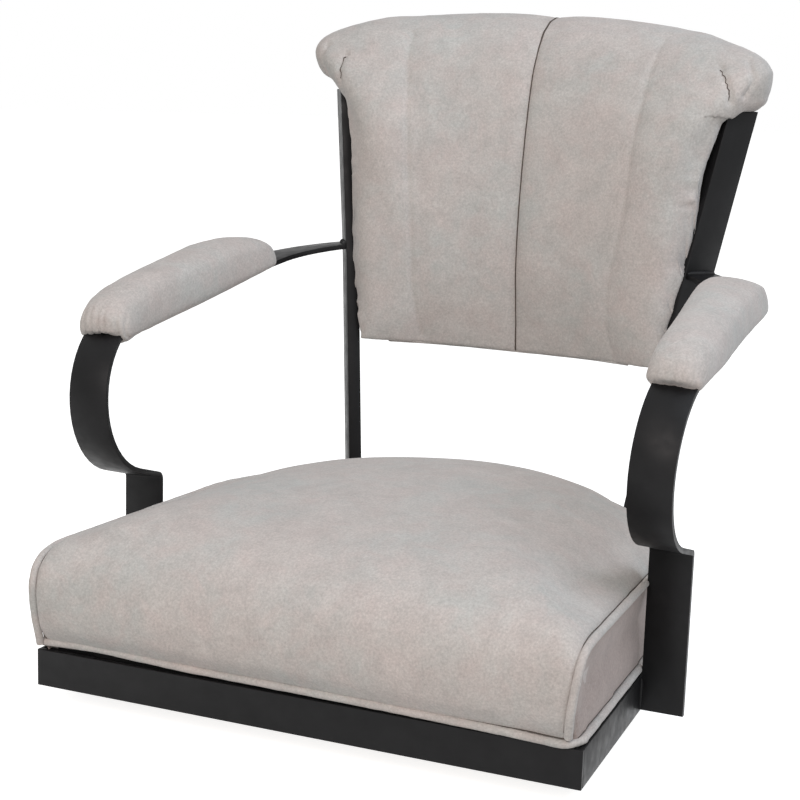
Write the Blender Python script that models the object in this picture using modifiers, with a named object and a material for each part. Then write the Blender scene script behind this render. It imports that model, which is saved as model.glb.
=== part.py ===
"""Swivel counter stool: the upholstered seat unit that turns on a base.

Metres, +Z up. The origin is on the swivel axis, at the underside of the lower swivel plate.
-Y is the front, where the sitter's knees are, and +X is on the right of someone who looks
at the front. Left and right in the names are that viewer's.
"""

import math

import bmesh
import bpy
from mathutils import Matrix, Vector

# Clearances
GAP = 0.0003
COVER_GAP = 0.0006
RUNNING_GAP = 0.0004
CUT_OVERRUN = 0.004

# Swivel plates
PLATE_EDGE = 0.0165
PLATE_THICKNESS = 0.003
PLATE_CORNER_RADIUS = 0.012
SWIVEL_HEIGHT = 0.019
BASE_HOLE_SPACING = 0.127
BASE_HOLE_RADIUS = 0.0045

# Boss on the lower plate, and the thrust ring that the upper plate turns on
BOSS_RADIUS = 0.052
BOSS_BORE_RADIUS = 0.032
BOSS_EDGE_BREAK = 0.001
THRUST_RADIUS = 0.051
THRUST_BORE_RADIUS = 0.033
THRUST_THICKNESS = 0.003

# Pivot stud that holds the plates together
PIVOT_RADIUS = 0.008
PIVOT_FLANGE_RADIUS = 0.014
PIVOT_FLANGE_HEIGHT = 0.002
PIVOT_HEAD_RADIUS = 0.0115
PIVOT_HEAD_HEIGHT = 0.003
WASHER_RADIUS = 0.0145
WASHER_THICKNESS = 0.0015

# Flat bar of the arms and of the straps under the seat
BAR_WIDTH = 0.0381
BAR_THICKNESS = 0.00476

# Seat frame
FRAME_WIDTH = 0.500
FRAME_STRAIGHT = 0.2633
FRAME_BEND_DEPTH = 0.1890
FRAME_TAPER = math.radians(3.36)
AXIS_SETBACK = 0.226
RAIL_HEIGHT = 0.033
RAIL_THICKNESS = 0.00476
STRAP_SPACING = 0.127
GUSSET_LEG = 0.050
GUSSET_THICKNESS = 0.004
TAB_REACH = 0.032
TAB_SHARES = (0.42, 0.56)

# Bolts that hold the upper plate to the straps
BOLT_SPACING = 0.120
BOLT_RADIUS = 0.003
BOLT_HEAD_RADIUS = 0.0058
BOLT_HEAD_HEIGHT = 0.0035
NUT_RADIUS = 0.0056
NUT_HEIGHT = 0.0045
BOLT_TAIL = 0.0015

# Wood screws
SCREW_RADIUS = 0.002
SCREW_HEAD_RADIUS = 0.004
SCREW_HEAD_HEIGHT = 0.0022
SCREW_BITE = 0.0055

# Seat board and cushion
SEAT_BOARD_THICKNESS = 0.010
WELT_RADIUS = 0.004
BASE_WELT_INSET = 0.0046
SEAT_FRONT_CORNER = 0.020
SEAT_WALL_HEIGHT = 0.0720
SEAT_CROWN = 0.046
SEAT_FRONT_BULGE = 0.021
SEAT_SIDE_DRAW = 0.006
WELT_MARGIN = 0.0014

# Uprights, coped to the rear rail's bend where it faces their way
UPRIGHT_WIDTH = 0.0127
UPRIGHT_DEPTH = 0.0381
UPRIGHT_TURN = math.radians(31.8)
UPRIGHT_COPE = 0.0059
UPRIGHT_TOP = 0.4985
UPRIGHT_BEND_HEIGHT = 0.335
UPRIGHT_BEND_REACH = 0.020
UPRIGHT_LOWER_LEAN_SHARES = (0.1214, 0.1675)
UPRIGHT_UPPER_LEAN_SHARES = (0.1616, 0.1976)

# Back board, its cover and the two bars behind them. The sets are how far the board's back
# face lies behind the uprights' front edges, at its foot and at the pad's top.
BACK_BOARD_THICKNESS = 0.008
BACK_COVER_THICKNESS = 0.003
BACK_BOARD_LOW = 0.252
BACK_BOARD_TOP_MARGIN = 0.0165
BACK_SET_LOW = 0.0150
BACK_SET_HIGH = 0.0066
BACK_RADIUS_LOW = 0.310
BACK_RADIUS_HIGH = 0.420
BACK_SIDE_INSET = 0.0036
BACK_BOARD_INSET = 0.0145
BACK_BOARD_CORNER = 0.018
BACK_BAR_HEIGHT = 0.0254
BACK_BAR_THICKNESS = 0.00476
LOWER_BAR_MARGIN = 0.024
UPPER_BAR_MARGIN = 0.034
BACK_SCREW_X = 0.100

# Back cushion, and the roll at its top, placed from the top of the pad
ROLL_OVERHANG = 0.0404
ROLL_BEHIND = 0.0223
ROLL_RISE = 0.0335
ROLL_RADIUS = 0.060
ROLL_PLAN_EASE = 0.080
ROLL_DROP = 0.005
BACK_PAD_DEPTH = 0.037
BACK_NECK_EASE = 0.011
CHANNEL_DEPTH = 0.005
SIDE_CHANNEL_DEPTH = 0.0018
CHANNEL_HALF_WIDTH = 0.009

# Arm straps
LEG_SETBACK = 0.190
LEG_FOOT = 0.002
LEG_FOOT_CHAMFER = 0.004
LEG_TOP = 0.1445
ARM_LEAN = math.radians(2.6)
TIGHT_BEND_RADIUS = 0.0054
LOOP_FOOT_RISE = math.radians(17.0)
LOOP_LEAD = 0.036
LOOP_RADIUS = 0.0731
ARM_RISE = math.radians(6.5)
ARM_SET_LENGTH = 0.018
ARM_TURN_RADIUS = 0.1085
ARM_WELD_SETBACK = 0.0213
ARM_WELD_RADIUS = 0.0045
LEG_WELD_RADIUS = 0.0022

# Arm pads
PAD_WRAP_ANGLE = math.radians(28.0)
PAD_HALF_WIDTH = 0.0295
PAD_CROWN = 0.0300
PAD_UNDER = 0.0080
PAD_TAIL = 0.008
PAD_BOARD_WIDTH = 0.034
PAD_BOARD_THICKNESS = 0.006
PAD_BOARD_MARGIN = 0.018
PAD_SCREW_MARGIN = 0.045

# Places worked out from the sizes above
PLATE_SIDE = BASE_HOLE_SPACING + 2 * PLATE_EDGE
FRONT_Y = -AXIS_SETBACK
BEND_Y = FRONT_Y + FRAME_STRAIGHT
REAR_Y = BEND_Y + FRAME_BEND_DEPTH
RAIL_Z = SWIVEL_HEIGHT + GAP
RAIL_TOP = RAIL_Z + RAIL_HEIGHT
SEAT_BOARD_Z = RAIL_TOP + GAP
SEAT_BOARD_TOP = SEAT_BOARD_Z + SEAT_BOARD_THICKNESS
BASE_WELT_Z = SEAT_BOARD_TOP - WELT_RADIUS - GAP
SEAT_CUSHION_Z = SEAT_BOARD_TOP + GAP
SEAT_SEAM_Z = SEAT_CUSHION_Z + SEAT_WALL_HEIGHT
UPRIGHT_BEND_Z = RAIL_Z + UPRIGHT_BEND_HEIGHT
BACK_BOARD_HIGH = UPRIGHT_TOP - BACK_BOARD_TOP_MARGIN
LOWER_BACK_BAR_HEIGHT = BACK_BOARD_LOW + LOWER_BAR_MARGIN
UPPER_BACK_BAR_HEIGHT = BACK_BOARD_HIGH - UPPER_BAR_MARGIN
ROLL_PLAN_RADIUS = BACK_RADIUS_HIGH + ROLL_PLAN_EASE

# Rings of the seat cushion's wall: height, forward bulge at the front, draw-in at the side
SEAT_WALL_SHARES = (
    (0.00, 0.10, 1.00),
    (0.04, -0.15, 0.65),
    (0.16, -0.55, 0.90),
    (0.55, -1.00, 0.80),
    (0.88, -0.84, 1.00),
    (1.00, -0.60, 1.40),
)
# Rings of its top: distance in from the seam to the middle, height of the crown
SEAT_TOP_SHARES = ((0.045, 0.34), (0.18, 0.58), (0.38, 0.82), (0.70, 0.97))

# Rows of the back cushion's panel: height, front surface of the pad, as a share of its depth
BACK_PANEL_SHARES = ((-0.015, 0.24), (0.12, 0.66), (0.42, 1.05), (0.72, 1.27), (1.00, 1.28))
# Rows of its roll, as turns about the roll's axis and distances from it, above and below
ROLL_SHARES = (
    (0.450, 1.12, 0.630, 0.70),
    (0.330, 1.06, 0.750, 0.64),
    (0.210, 1.00, 0.840, 0.72),
    (0.070, 1.02, 0.930, 0.98),
)
# Stations across the back cushion, and how far the pad and the roll draw in there
BACK_STATION_SHARES = (
    (0.00, 1.00, 0.98),
    (0.32, 1.00, 0.96),
    (0.63, 1.00, 0.88),
    (0.88, 0.98, 0.68),
    (0.97, 0.80, 0.50),
    (1.00, 0.40, 0.28),
)
CHANNEL_STATION_SHARE = 0.63

# Rings along an arm pad: place, width, height above the strap, depth under it
PAD_RING_SHARES = (
    (0.00, 0.80, 0.42, 0.86),
    (0.03, 0.93, 0.74, 1.00),
    (0.12, 1.00, 0.96, 1.00),
    (0.32, 1.00, 1.00, 1.00),
    (0.62, 1.00, 1.00, 1.00),
    (0.86, 0.99, 0.97, 1.00),
    (0.96, 0.90, 0.78, 1.00),
    (1.00, 0.74, 0.46, 0.86),
)
# Outline of a pad's section: across, up where positive and down where negative
PAD_SECTION_SHARES = (
    (1.00, 0.10),
    (0.94, 0.58),
    (0.62, 0.93),
    (0.00, 1.04),
    (-0.62, 0.93),
    (-0.94, 0.58),
    (-1.00, 0.10),
    (-0.88, -1.00),
    (0.00, -1.05),
    (0.88, -1.00),
)

SEAT_SIDE_SHARES = (0.25, 0.50, 0.75)

ROUND_STEPS = 48
HOLE_STEPS = 20
BEND_STEPS = 16
SEAT_BEND_STEPS = 6
FIT_STEPS = 40
SIDES = (("left", -1), ("right", 1))
CORNERS = ("front_left", "front_right", "rear_right", "rear_left")


def clear_scene():
    for obj in list(bpy.data.objects):
        bpy.data.objects.remove(obj, do_unlink=True)


def new_collection(name):
    collection = bpy.data.collections.new(name)
    bpy.context.scene.collection.children.link(collection)
    return collection


def new_material(name, colour, roughness, metallic):
    material = bpy.data.materials.new(name)
    material.use_nodes = True
    shader = material.node_tree.nodes["Principled BSDF"]
    shader.inputs["Base Color"].default_value = (*colour, 1.0)
    shader.inputs["Roughness"].default_value = roughness
    shader.inputs["Metallic"].default_value = metallic
    material.diffuse_color = (*colour, 1.0)
    return material


def link_mesh(name, mesh, material=None, cutter=False):
    """Put a mesh in the scene as a part, or as a cutter that isn't built."""
    obj = bpy.data.objects.new(name, mesh)
    (CUTTERS if cutter else STOOL).objects.link(obj)
    if cutter:
        obj.hide_render = True
        obj.display_type = "WIRE"
    else:
        mesh.materials.append(material)
    return obj


def finish_mesh(bm, name, smooth=True):
    bm.normal_update()
    bmesh.ops.recalc_face_normals(bm, faces=bm.faces)
    mesh = bpy.data.meshes.new(name)
    bm.to_mesh(mesh)
    bm.free()
    if smooth:
        mesh.shade_smooth()
        mesh.set_sharp_from_angle(angle=math.radians(35))
    return mesh


def cut(target, cutter):
    modifier = target.modifiers.new("Cut " + cutter.name, "BOOLEAN")
    modifier.operation = "DIFFERENCE"
    modifier.solver = "EXACT"
    modifier.object = cutter


def smooth_form(obj):
    modifier = obj.modifiers.new("Soft form", "SUBSURF")
    modifier.levels = 1
    modifier.render_levels = 1


def plate(name, outline, low, thickness, material=None, cutter=False):
    """A flat plate: a filled outline in plan, raised from a height."""
    curve = bpy.data.curves.new(name, "CURVE")
    curve.dimensions = "2D"
    curve.fill_mode = "BOTH"
    curve.extrude = thickness / 2
    spline = curve.splines.new("POLY")
    spline.points.add(len(outline) - 1)
    for point, place in zip(spline.points, outline):
        point.co = (place[0], place[1], 0, 1)
    spline.use_cyclic_u = True
    drawn = bpy.data.objects.new(name + "_outline", curve)
    STOOL.objects.link(drawn)
    bpy.context.view_layer.update()
    drawn_shape = drawn.evaluated_get(bpy.context.evaluated_depsgraph_get())
    mesh = bpy.data.meshes.new_from_object(drawn_shape)
    mesh.materials.clear()
    bpy.data.objects.remove(drawn, do_unlink=True)
    bm = bmesh.new()
    bm.from_mesh(mesh)
    bmesh.ops.remove_doubles(bm, verts=bm.verts, dist=GAP / 10)
    bmesh.ops.translate(bm, verts=bm.verts, vec=(0, 0, low + thickness / 2))
    bpy.data.meshes.remove(mesh)
    return link_mesh(name, finish_mesh(bm, name), material, cutter)


def round_cutter(name, places, radius, low, high):
    """Upright cylinders at some places in plan, as one cutter."""
    bm = bmesh.new()
    for x, y in places:
        bmesh.ops.create_cone(
            bm, cap_ends=True, segments=HOLE_STEPS, radius1=radius, radius2=radius,
            depth=high - low, matrix=Matrix.Translation((x, y, (low + high) / 2)))
    return link_mesh(name, finish_mesh(bm, name), cutter=True)


def turned(name, profile, closed, material, steps=ROUND_STEPS):
    """A turned piece about the swivel axis. The profile runs down its outer side."""
    bm = bmesh.new()
    verts = [bm.verts.new((radius, 0, height)) for radius, height in profile]
    ends = verts[1:] + verts[:1] if closed else verts[1:]
    for start, end in zip(verts, ends):
        bm.edges.new((start, end))
    mesh = bpy.data.meshes.new(name)
    bm.to_mesh(mesh)
    bm.free()
    obj = link_mesh(name, mesh, material)
    modifier = obj.modifiers.new("Turn", "SCREW")
    modifier.steps = steps
    modifier.render_steps = steps
    modifier.use_merge_vertices = True
    modifier.merge_threshold = GAP / 10
    return obj


def turned_mesh(name, profile, steps):
    """A small turned solid as a mesh, for fasteners that are set in several places."""
    bm = bmesh.new()
    verts = [bm.verts.new((radius, 0, height)) for radius, height in profile]
    edges = [bm.edges.new(pair) for pair in zip(verts, verts[1:])]
    bmesh.ops.spin(
        bm, geom=verts + edges, cent=(0, 0, 0), axis=(0, 0, 1), angle=math.tau,
        steps=steps, use_merge=True)
    bmesh.ops.remove_doubles(bm, verts=bm.verts, dist=GAP / 10)
    return finish_mesh(bm, name)


def set_cutters(name, mesh, places):
    """One small mesh set in several places, as a cutter."""
    bm = bmesh.new()
    for place in places:
        copy = mesh.copy()
        copy.transform(place)
        bm.from_mesh(copy)
        bpy.data.meshes.remove(copy)
    return link_mesh(name, finish_mesh(bm, name), cutter=True)


def set_each(name, endings, mesh, places):
    """One fastener's mesh set in several places, each a piece of its own."""
    mesh.materials.append(ZINC)
    for ending, place in zip(endings, places):
        obj = bpy.data.objects.new(name + "_" + ending, mesh)
        STOOL.objects.link(obj)
        obj.matrix_world = place


def facing(place, direction):
    """The placing of a fastener whose shank runs along a direction from a place."""
    turn = Vector(direction).normalized().to_track_quat("Z", "Y")
    return Matrix.Translation(place) @ turn.to_matrix().to_4x4()


def sheet(name, columns, rows, place, thickness, material=None, cutter=False, side=0.0):
    """A sheet of metal, board or card: a grid set by a function, given its thickness."""
    bm = bmesh.new()
    bmesh.ops.create_grid(bm, x_segments=columns, y_segments=rows, size=0.5)
    for vert in bm.verts:
        vert.co = place(vert.co.x + 0.5, vert.co.y + 0.5)
    mesh = bpy.data.meshes.new(name)
    bm.to_mesh(mesh)
    bm.free()
    mesh.shade_smooth()
    mesh.set_sharp_from_angle(angle=math.radians(35))
    obj = link_mesh(name, mesh, material, cutter)
    modifier = obj.modifiers.new("Thickness", "SOLIDIFY")
    modifier.thickness = thickness
    modifier.offset = side
    modifier.use_even_offset = True
    return obj


def loft(name, rings, material, middle=None):
    """A closed soft cage through rings of equal count, closed at both ends."""
    bm = bmesh.new()
    loops = [[bm.verts.new(point) for point in ring] for ring in rings]
    for low, high in zip(loops, loops[1:]):
        for near, far in zip(zip(low, high), zip(low[1:] + low[:1], high[1:] + high[:1])):
            bm.faces.new((near[0], far[0], far[1], near[1]))
    bm.faces.new(loops[0])
    if middle is None:
        bm.faces.new(loops[-1])
    else:
        top = bm.verts.new(middle)
        for near, far in zip(loops[-1], loops[-1][1:] + loops[-1][:1]):
            bm.faces.new((near, far, top))
    obj = link_mesh(name, finish_mesh(bm, name), material)
    smooth_form(obj)
    return obj


def cord(name, points, radius, closed, material=None, cutter=False):
    """A round cord along points, with its ends closed."""
    curve = bpy.data.curves.new(name, "CURVE")
    curve.dimensions = "3D"
    curve.bevel_depth = radius
    curve.bevel_resolution = 1
    curve.use_fill_caps = True
    spline = curve.splines.new("POLY")
    spline.points.add(len(points) - 1)
    for point, place in zip(spline.points, points):
        point.co = (*place, 1)
    spline.use_cyclic_u = closed
    drawn = bpy.data.objects.new(name + "_line", curve)
    STOOL.objects.link(drawn)
    bpy.context.view_layer.update()
    drawn_shape = drawn.evaluated_get(bpy.context.evaluated_depsgraph_get())
    mesh = bpy.data.meshes.new_from_object(drawn_shape)
    mesh.materials.clear()
    bpy.data.objects.remove(drawn, do_unlink=True)
    bm = bmesh.new()
    bm.from_mesh(mesh)
    bmesh.ops.remove_doubles(bm, verts=bm.verts, dist=GAP / 10)
    bpy.data.meshes.remove(mesh)
    return link_mesh(name, finish_mesh(bm, name), material, cutter)


def square_corners(spacing):
    half = spacing / 2
    return [(-half, -half), (half, -half), (half, half), (-half, half)]


def rounded_square(side, radius):
    """A square outline with round corners, centred on the axis."""
    points = []
    for corner, (x, y) in enumerate(square_corners(side - 2 * radius)):
        for step in range(5):
            angle = math.pi + (corner + step / 4) * math.pi / 2
            points.append((x + radius * math.cos(angle), y + radius * math.sin(angle)))
    return points


def make_swivel():
    """Two plates, a boss and a thrust ring between them, and the stud that keeps them together."""
    upper_z = SWIVEL_HEIGHT - PLATE_THICKNESS
    outline = rounded_square(PLATE_SIDE, PLATE_CORNER_RADIUS)
    lower = plate("lower_swivel_plate", outline, 0, PLATE_THICKNESS, ZINC)
    base_holes = round_cutter(
        "base_holes", square_corners(BASE_HOLE_SPACING), BASE_HOLE_RADIUS,
        -CUT_OVERRUN, PLATE_THICKNESS + CUT_OVERRUN)
    cut(lower, base_holes)

    upper = plate("upper_swivel_plate", outline, upper_z, PLATE_THICKNESS, ZINC)
    bolt_holes = round_cutter(
        "bolt_holes", bolt_places(), BOLT_RADIUS + GAP,
        upper_z - CUT_OVERRUN, RAIL_Z + BAR_THICKNESS + CUT_OVERRUN)
    pivot_hole = round_cutter(
        "pivot_hole", [(0, 0)], PIVOT_RADIUS + RUNNING_GAP,
        upper_z - CUT_OVERRUN, SWIVEL_HEIGHT + CUT_OVERRUN)
    cut(upper, bolt_holes)
    cut(upper, pivot_hole)

    boss_low = PLATE_THICKNESS + GAP
    ring_high = upper_z - RUNNING_GAP
    ring_low = ring_high - THRUST_THICKNESS
    boss_high = ring_low - GAP
    turned("swivel_boss", [
        (BOSS_RADIUS - BOSS_EDGE_BREAK, boss_high), (BOSS_RADIUS, boss_high - BOSS_EDGE_BREAK),
        (BOSS_RADIUS, boss_low), (BOSS_BORE_RADIUS, boss_low), (BOSS_BORE_RADIUS, boss_high),
    ], True, STEEL)
    turned("thrust_ring", [
        (THRUST_RADIUS, ring_high), (THRUST_RADIUS, ring_low),
        (THRUST_BORE_RADIUS, ring_low), (THRUST_BORE_RADIUS, ring_high),
    ], True, ACETAL)

    stud_low = PLATE_THICKNESS + GAP
    head_low = SWIVEL_HEIGHT + WASHER_THICKNESS + 2 * GAP
    turned("pivot_stud", [
        (0, head_low + PIVOT_HEAD_HEIGHT),
        (PIVOT_HEAD_RADIUS, head_low + PIVOT_HEAD_HEIGHT),
        (PIVOT_HEAD_RADIUS, head_low),
        (PIVOT_RADIUS, head_low),
        (PIVOT_RADIUS, stud_low + PIVOT_FLANGE_HEIGHT),
        (PIVOT_FLANGE_RADIUS, stud_low + PIVOT_FLANGE_HEIGHT),
        (PIVOT_FLANGE_RADIUS, stud_low),
        (0, stud_low),
    ], False, STEEL)
    bore = PIVOT_RADIUS + GAP
    washer_low = SWIVEL_HEIGHT + GAP
    washer_high = washer_low + WASHER_THICKNESS
    turned("pivot_washer", [
        (WASHER_RADIUS, washer_high), (WASHER_RADIUS, washer_low),
        (bore, washer_low), (bore, washer_high),
    ], True, STEEL)
    return bolt_holes


def bolt_places():
    x = BOLT_SPACING / 2
    y = STRAP_SPACING / 2
    return [(-x, -y), (x, -y), (x, y), (-x, y)]


def side_x(y, inset=0.0):
    """Half the frame's width at a depth, less an inset from the straight of a side rail."""
    return FRAME_WIDTH / 2 - (y - FRONT_Y) * math.tan(FRAME_TAPER) - inset / math.cos(FRAME_TAPER)


def bend_face(share):
    """A point on the outside of the frame's rear bend and the way out from it, for the right."""
    angle = share * math.pi / 2
    taper = FRAME_BEND_DEPTH * math.tan(FRAME_TAPER)
    width = side_x(BEND_Y) - taper * math.sin(angle)
    run_x = -taper * math.cos(angle) ** 2 - width * math.sin(angle)
    run_y = FRAME_BEND_DEPTH * math.cos(angle)
    point = Vector((width * math.cos(angle), BEND_Y + FRAME_BEND_DEPTH * math.sin(angle)))
    return point, Vector((run_y, -run_x)).normalized()


def bend_point(share, inset=0.0):
    """A point of the frame's rear bend, from the end of the right rail to the middle."""
    point, out = bend_face(share)
    return tuple(point - out * inset)


def bend_line(low, high, steps, inset):
    """Points along the rear bend. Shares over one go on past the middle to the left."""
    points = []
    for step in range(steps + 1):
        share = low + (high - low) * step / steps
        x, y = bend_point(min(share, 2 - share), inset)
        points.append((x if share <= 1 else -x, y))
    return points


def inside_x(y, inset):
    """Half the room inside the frame at a depth, on the straight or in the bend."""
    if y <= BEND_Y:
        return side_x(y, inset)
    points = bend_line(0, 1, BEND_STEPS, inset)
    for (near_x, near_y), (far_x, far_y) in zip(points, points[1:]):
        if far_y >= y:
            return near_x + (far_x - near_x) * (y - near_y) / (far_y - near_y)
    raise ValueError("depth is behind the frame")


def make_frame(bolt_holes):
    """A D-shaped frame of flat bar on edge, and two straps that carry the swivel."""
    front_inner = FRONT_Y + RAIL_THICKNESS
    plate("front_rail", [
        (-side_x(FRONT_Y), FRONT_Y), (side_x(FRONT_Y), FRONT_Y),
        (side_x(front_inner), front_inner), (-side_x(front_inner), front_inner),
    ], RAIL_Z, RAIL_HEIGHT, BLACK)
    outer = bend_line(0, 2, 2 * BEND_STEPS, 0)
    inner = bend_line(0, 2, 2 * BEND_STEPS, RAIL_THICKNESS)
    plate("rear_rail", outer + inner[::-1], RAIL_Z, RAIL_HEIGHT, BLACK)
    low = front_inner + GAP
    high = BEND_Y - GAP
    for side, sign in SIDES:
        plate(side + "_rail", [
            (sign * side_x(low), low), (sign * side_x(high), high),
            (sign * side_x(high, RAIL_THICKNESS), high), (sign * side_x(low, RAIL_THICKNESS), low),
        ], RAIL_Z, RAIL_HEIGHT, BLACK)

    inset = RAIL_THICKNESS + GAP
    for name, middle in (("front_strap", -STRAP_SPACING / 2), ("rear_strap", STRAP_SPACING / 2)):
        end = []
        for share in (-0.5, -0.25, 0, 0.25, 0.5):
            y = middle + share * BAR_WIDTH
            end.append((inside_x(y, inset), y))
        strap_plate = plate(
            name, end + [(-x, y) for x, y in reversed(end)], RAIL_Z, BAR_THICKNESS, BLACK)
        cut(strap_plate, bolt_holes)

    bolt_seat = RAIL_Z + BAR_THICKNESS + GAP
    nut_top = SWIVEL_HEIGHT - PLATE_THICKNESS - GAP
    nut_low = nut_top - NUT_HEIGHT
    tip = nut_low - BOLT_TAIL
    bolt = turned_mesh("bolt", [
        (0, bolt_seat + BOLT_HEAD_HEIGHT), (BOLT_HEAD_RADIUS, bolt_seat + BOLT_HEAD_HEIGHT),
        (BOLT_HEAD_RADIUS, bolt_seat), (BOLT_RADIUS, bolt_seat), (BOLT_RADIUS, tip), (0, tip),
    ], 12)
    set_each("swivel_bolt", CORNERS, bolt, [Matrix.Translation((x, y, 0)) for x, y in bolt_places()])
    nut_bores = round_cutter(
        "nut_bores", bolt_places(), BOLT_RADIUS + GAP, nut_low - CUT_OVERRUN, nut_top + CUT_OVERRUN)
    for corner, (x, y) in zip(CORNERS, bolt_places()):
        bm = bmesh.new()
        bmesh.ops.create_cone(
            bm, cap_ends=True, segments=6, radius1=NUT_RADIUS, radius2=NUT_RADIUS,
            depth=NUT_HEIGHT, matrix=Matrix.Translation((x, y, nut_low + NUT_HEIGHT / 2)))
        name = "swivel_nut_" + corner
        cut(link_mesh(name, finish_mesh(bm, name), ZINC), nut_bores)


def make_gussets():
    """Plates level with the top of the rails, and the screws up into the seat board."""
    inset = RAIL_THICKNESS + GAP
    y = FRONT_Y + inset
    along = y + GUSSET_LEG
    low = RAIL_TOP - GUSSET_THICKNESS
    screw_places = []
    plates = []
    for side, sign in SIDES:
        corner = (sign * side_x(y, inset), y)
        plates.append(plate("front_" + side + "_gusset", [
            corner, (sign * side_x(along, inset), along), (sign * (side_x(y, inset) - GUSSET_LEG), y),
        ], low, GUSSET_THICKNESS, BLACK))
        screw_places.append((corner[0] - sign * GUSSET_LEG / 3, y + GUSSET_LEG / 3))
        outer = bend_line(*TAB_SHARES, 4, inset)
        inner = bend_line(*TAB_SHARES, 4, inset + TAB_REACH)
        plates.append(plate("rear_" + side + "_tab", [
            (sign * x, y) for x, y in outer + inner[::-1]], low, GUSSET_THICKNESS, BLACK))
        screw_x, screw_y = bend_point(sum(TAB_SHARES) / 2, inset + TAB_REACH / 2)
        screw_places.append((sign * screw_x, screw_y))
    tip = SEAT_BOARD_Z + SCREW_BITE
    holes = round_cutter("board_screw_holes", screw_places, SCREW_RADIUS + GAP,
                         low - CUT_OVERRUN, tip + GAP)
    for piece in plates:
        cut(piece, holes)
    seat = low - GAP
    screw = turned_mesh("screw", [
        (0, tip), (SCREW_RADIUS, tip), (SCREW_RADIUS, seat), (SCREW_HEAD_RADIUS, seat),
        (SCREW_HEAD_RADIUS, seat - SCREW_HEAD_HEIGHT), (0, seat - SCREW_HEAD_HEIGHT),
    ], 12)
    places = [Matrix.Translation((x, y, 0)) for x, y in screw_places]
    set_each("board_screw", ("front_left", "rear_left", "front_right", "rear_right"), screw, places)
    return holes


def seat_outline(front, inset, corner, steps=SEAT_BEND_STEPS):
    """A ring in plan: its front at a distance from the front rail, its sides drawn in."""
    front_y = FRONT_Y + front
    corner_x = side_x(front_y, inset) - corner
    corner_y = front_y + corner
    right = [(corner_x / 2, front_y)]
    for step in range(4):
        angle = (step / 3 - 1) * math.pi / 2
        right.append((corner_x + corner * math.cos(angle), corner_y + corner * math.sin(angle)))
    for share in SEAT_SIDE_SHARES:
        y = corner_y + (BEND_Y - corner_y) * share
        right.append((side_x(y, inset), y))
    right += bend_line(0, 1, steps, inset)[:-1]
    left = [(-x, y) for x, y in reversed(right)]
    return [(0, front_y)] + right + [(0, REAR_Y - inset)] + left


def even_outline(inset):
    """The frame's outline drawn in evenly, with no points inside its straight front."""
    points = seat_outline(inset, inset, SEAT_FRONT_CORNER - inset, BEND_STEPS)
    return points[2:-1]


def seat_rings():
    """The seat cushion's rings, from its foot up to near the middle of its crown."""
    rings = []
    for height, front, side in SEAT_WALL_SHARES:
        outline = seat_outline(front * SEAT_FRONT_BULGE, side * SEAT_SIDE_DRAW, SEAT_FRONT_CORNER)
        z = SEAT_CUSHION_Z + height * SEAT_WALL_HEIGHT
        rings.append([(x, y, z) for x, y in outline])
    middle_y = (FRONT_Y + REAR_Y) / 2
    outer = rings[-1]
    for inward, height in SEAT_TOP_SHARES:
        z = SEAT_SEAM_Z + height * SEAT_CROWN
        rings.append([
            (x * (1 - inward), middle_y + (y - middle_y) * (1 - inward), z) for x, y, _ in outer])
    return rings


def top_welt_points(rings):
    """The upper welt: up a front corner, back along one side and round to the other."""
    right = [Vector(ring[4]) for ring in rings[2:5]]
    seam = rings[5]
    half = len(seam) // 2
    right += [Vector(point) for point in seam[5:half]]
    left = [Vector((-point.x, point.y, point.z)) for point in reversed(right)]
    return right + [Vector(seam[half])] + left


def lifted(obj, points, lift):
    """Points set on a soft form's surface, and then out from it by a distance."""
    bpy.context.view_layer.update()
    shape = obj.evaluated_get(bpy.context.evaluated_depsgraph_get())
    moved = []
    for point in points:
        _, place, normal, _ = shape.closest_point_on_mesh(point)
        moved.append(place + normal * lift)
    return moved


def make_seat(board_holes):
    """The seat board, its cushion, the welt round the foot and the welt round the top."""
    board_inset = BASE_WELT_INSET + WELT_RADIUS + GAP
    board = plate(
        "seat_board", even_outline(board_inset), SEAT_BOARD_Z, SEAT_BOARD_THICKNESS, PLY)
    cut(board, board_holes)
    middle = (0, (FRONT_Y + REAR_Y) / 2, SEAT_SEAM_Z + SEAT_CROWN)
    rings = seat_rings()
    cushion = loft("seat_cushion", rings, FABRIC, middle)
    welt = [(x, y, BASE_WELT_Z) for x, y in even_outline(BASE_WELT_INSET)]
    cord("seat_base_welt", welt, WELT_RADIUS, True, FABRIC)
    top = lifted(cushion, top_welt_points(rings), WELT_RADIUS + WELT_MARGIN)
    cord("seat_top_welt", top, WELT_RADIUS, False, FABRIC)


def bent(height, low, high):
    """How far a leaning bar has gone sideways from its bend, with the bend eased."""
    reach = UPRIGHT_BEND_REACH
    if height > reach:
        return high * height
    if height < -reach:
        return low * height
    return (low + high) / 2 * height + (high - low) * (height * height + reach * reach) / (4 * reach)


def upright_bend():
    """The front outer corner of the right upright in plan, at its bend."""
    low, high = 0.0, 1.0
    for _ in range(FIT_STEPS):
        share = (low + high) / 2
        face, out = bend_face(share)
        if math.atan2(out.x, out.y) > UPRIGHT_TURN:
            low = share
        else:
            high = share
    edge = Vector((out.y, -out.x))
    foot = face - out * UPRIGHT_COPE + edge * UPRIGHT_WIDTH / 2
    return foot + Vector(UPRIGHT_LOWER_LEAN_SHARES) * UPRIGHT_BEND_HEIGHT


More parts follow.
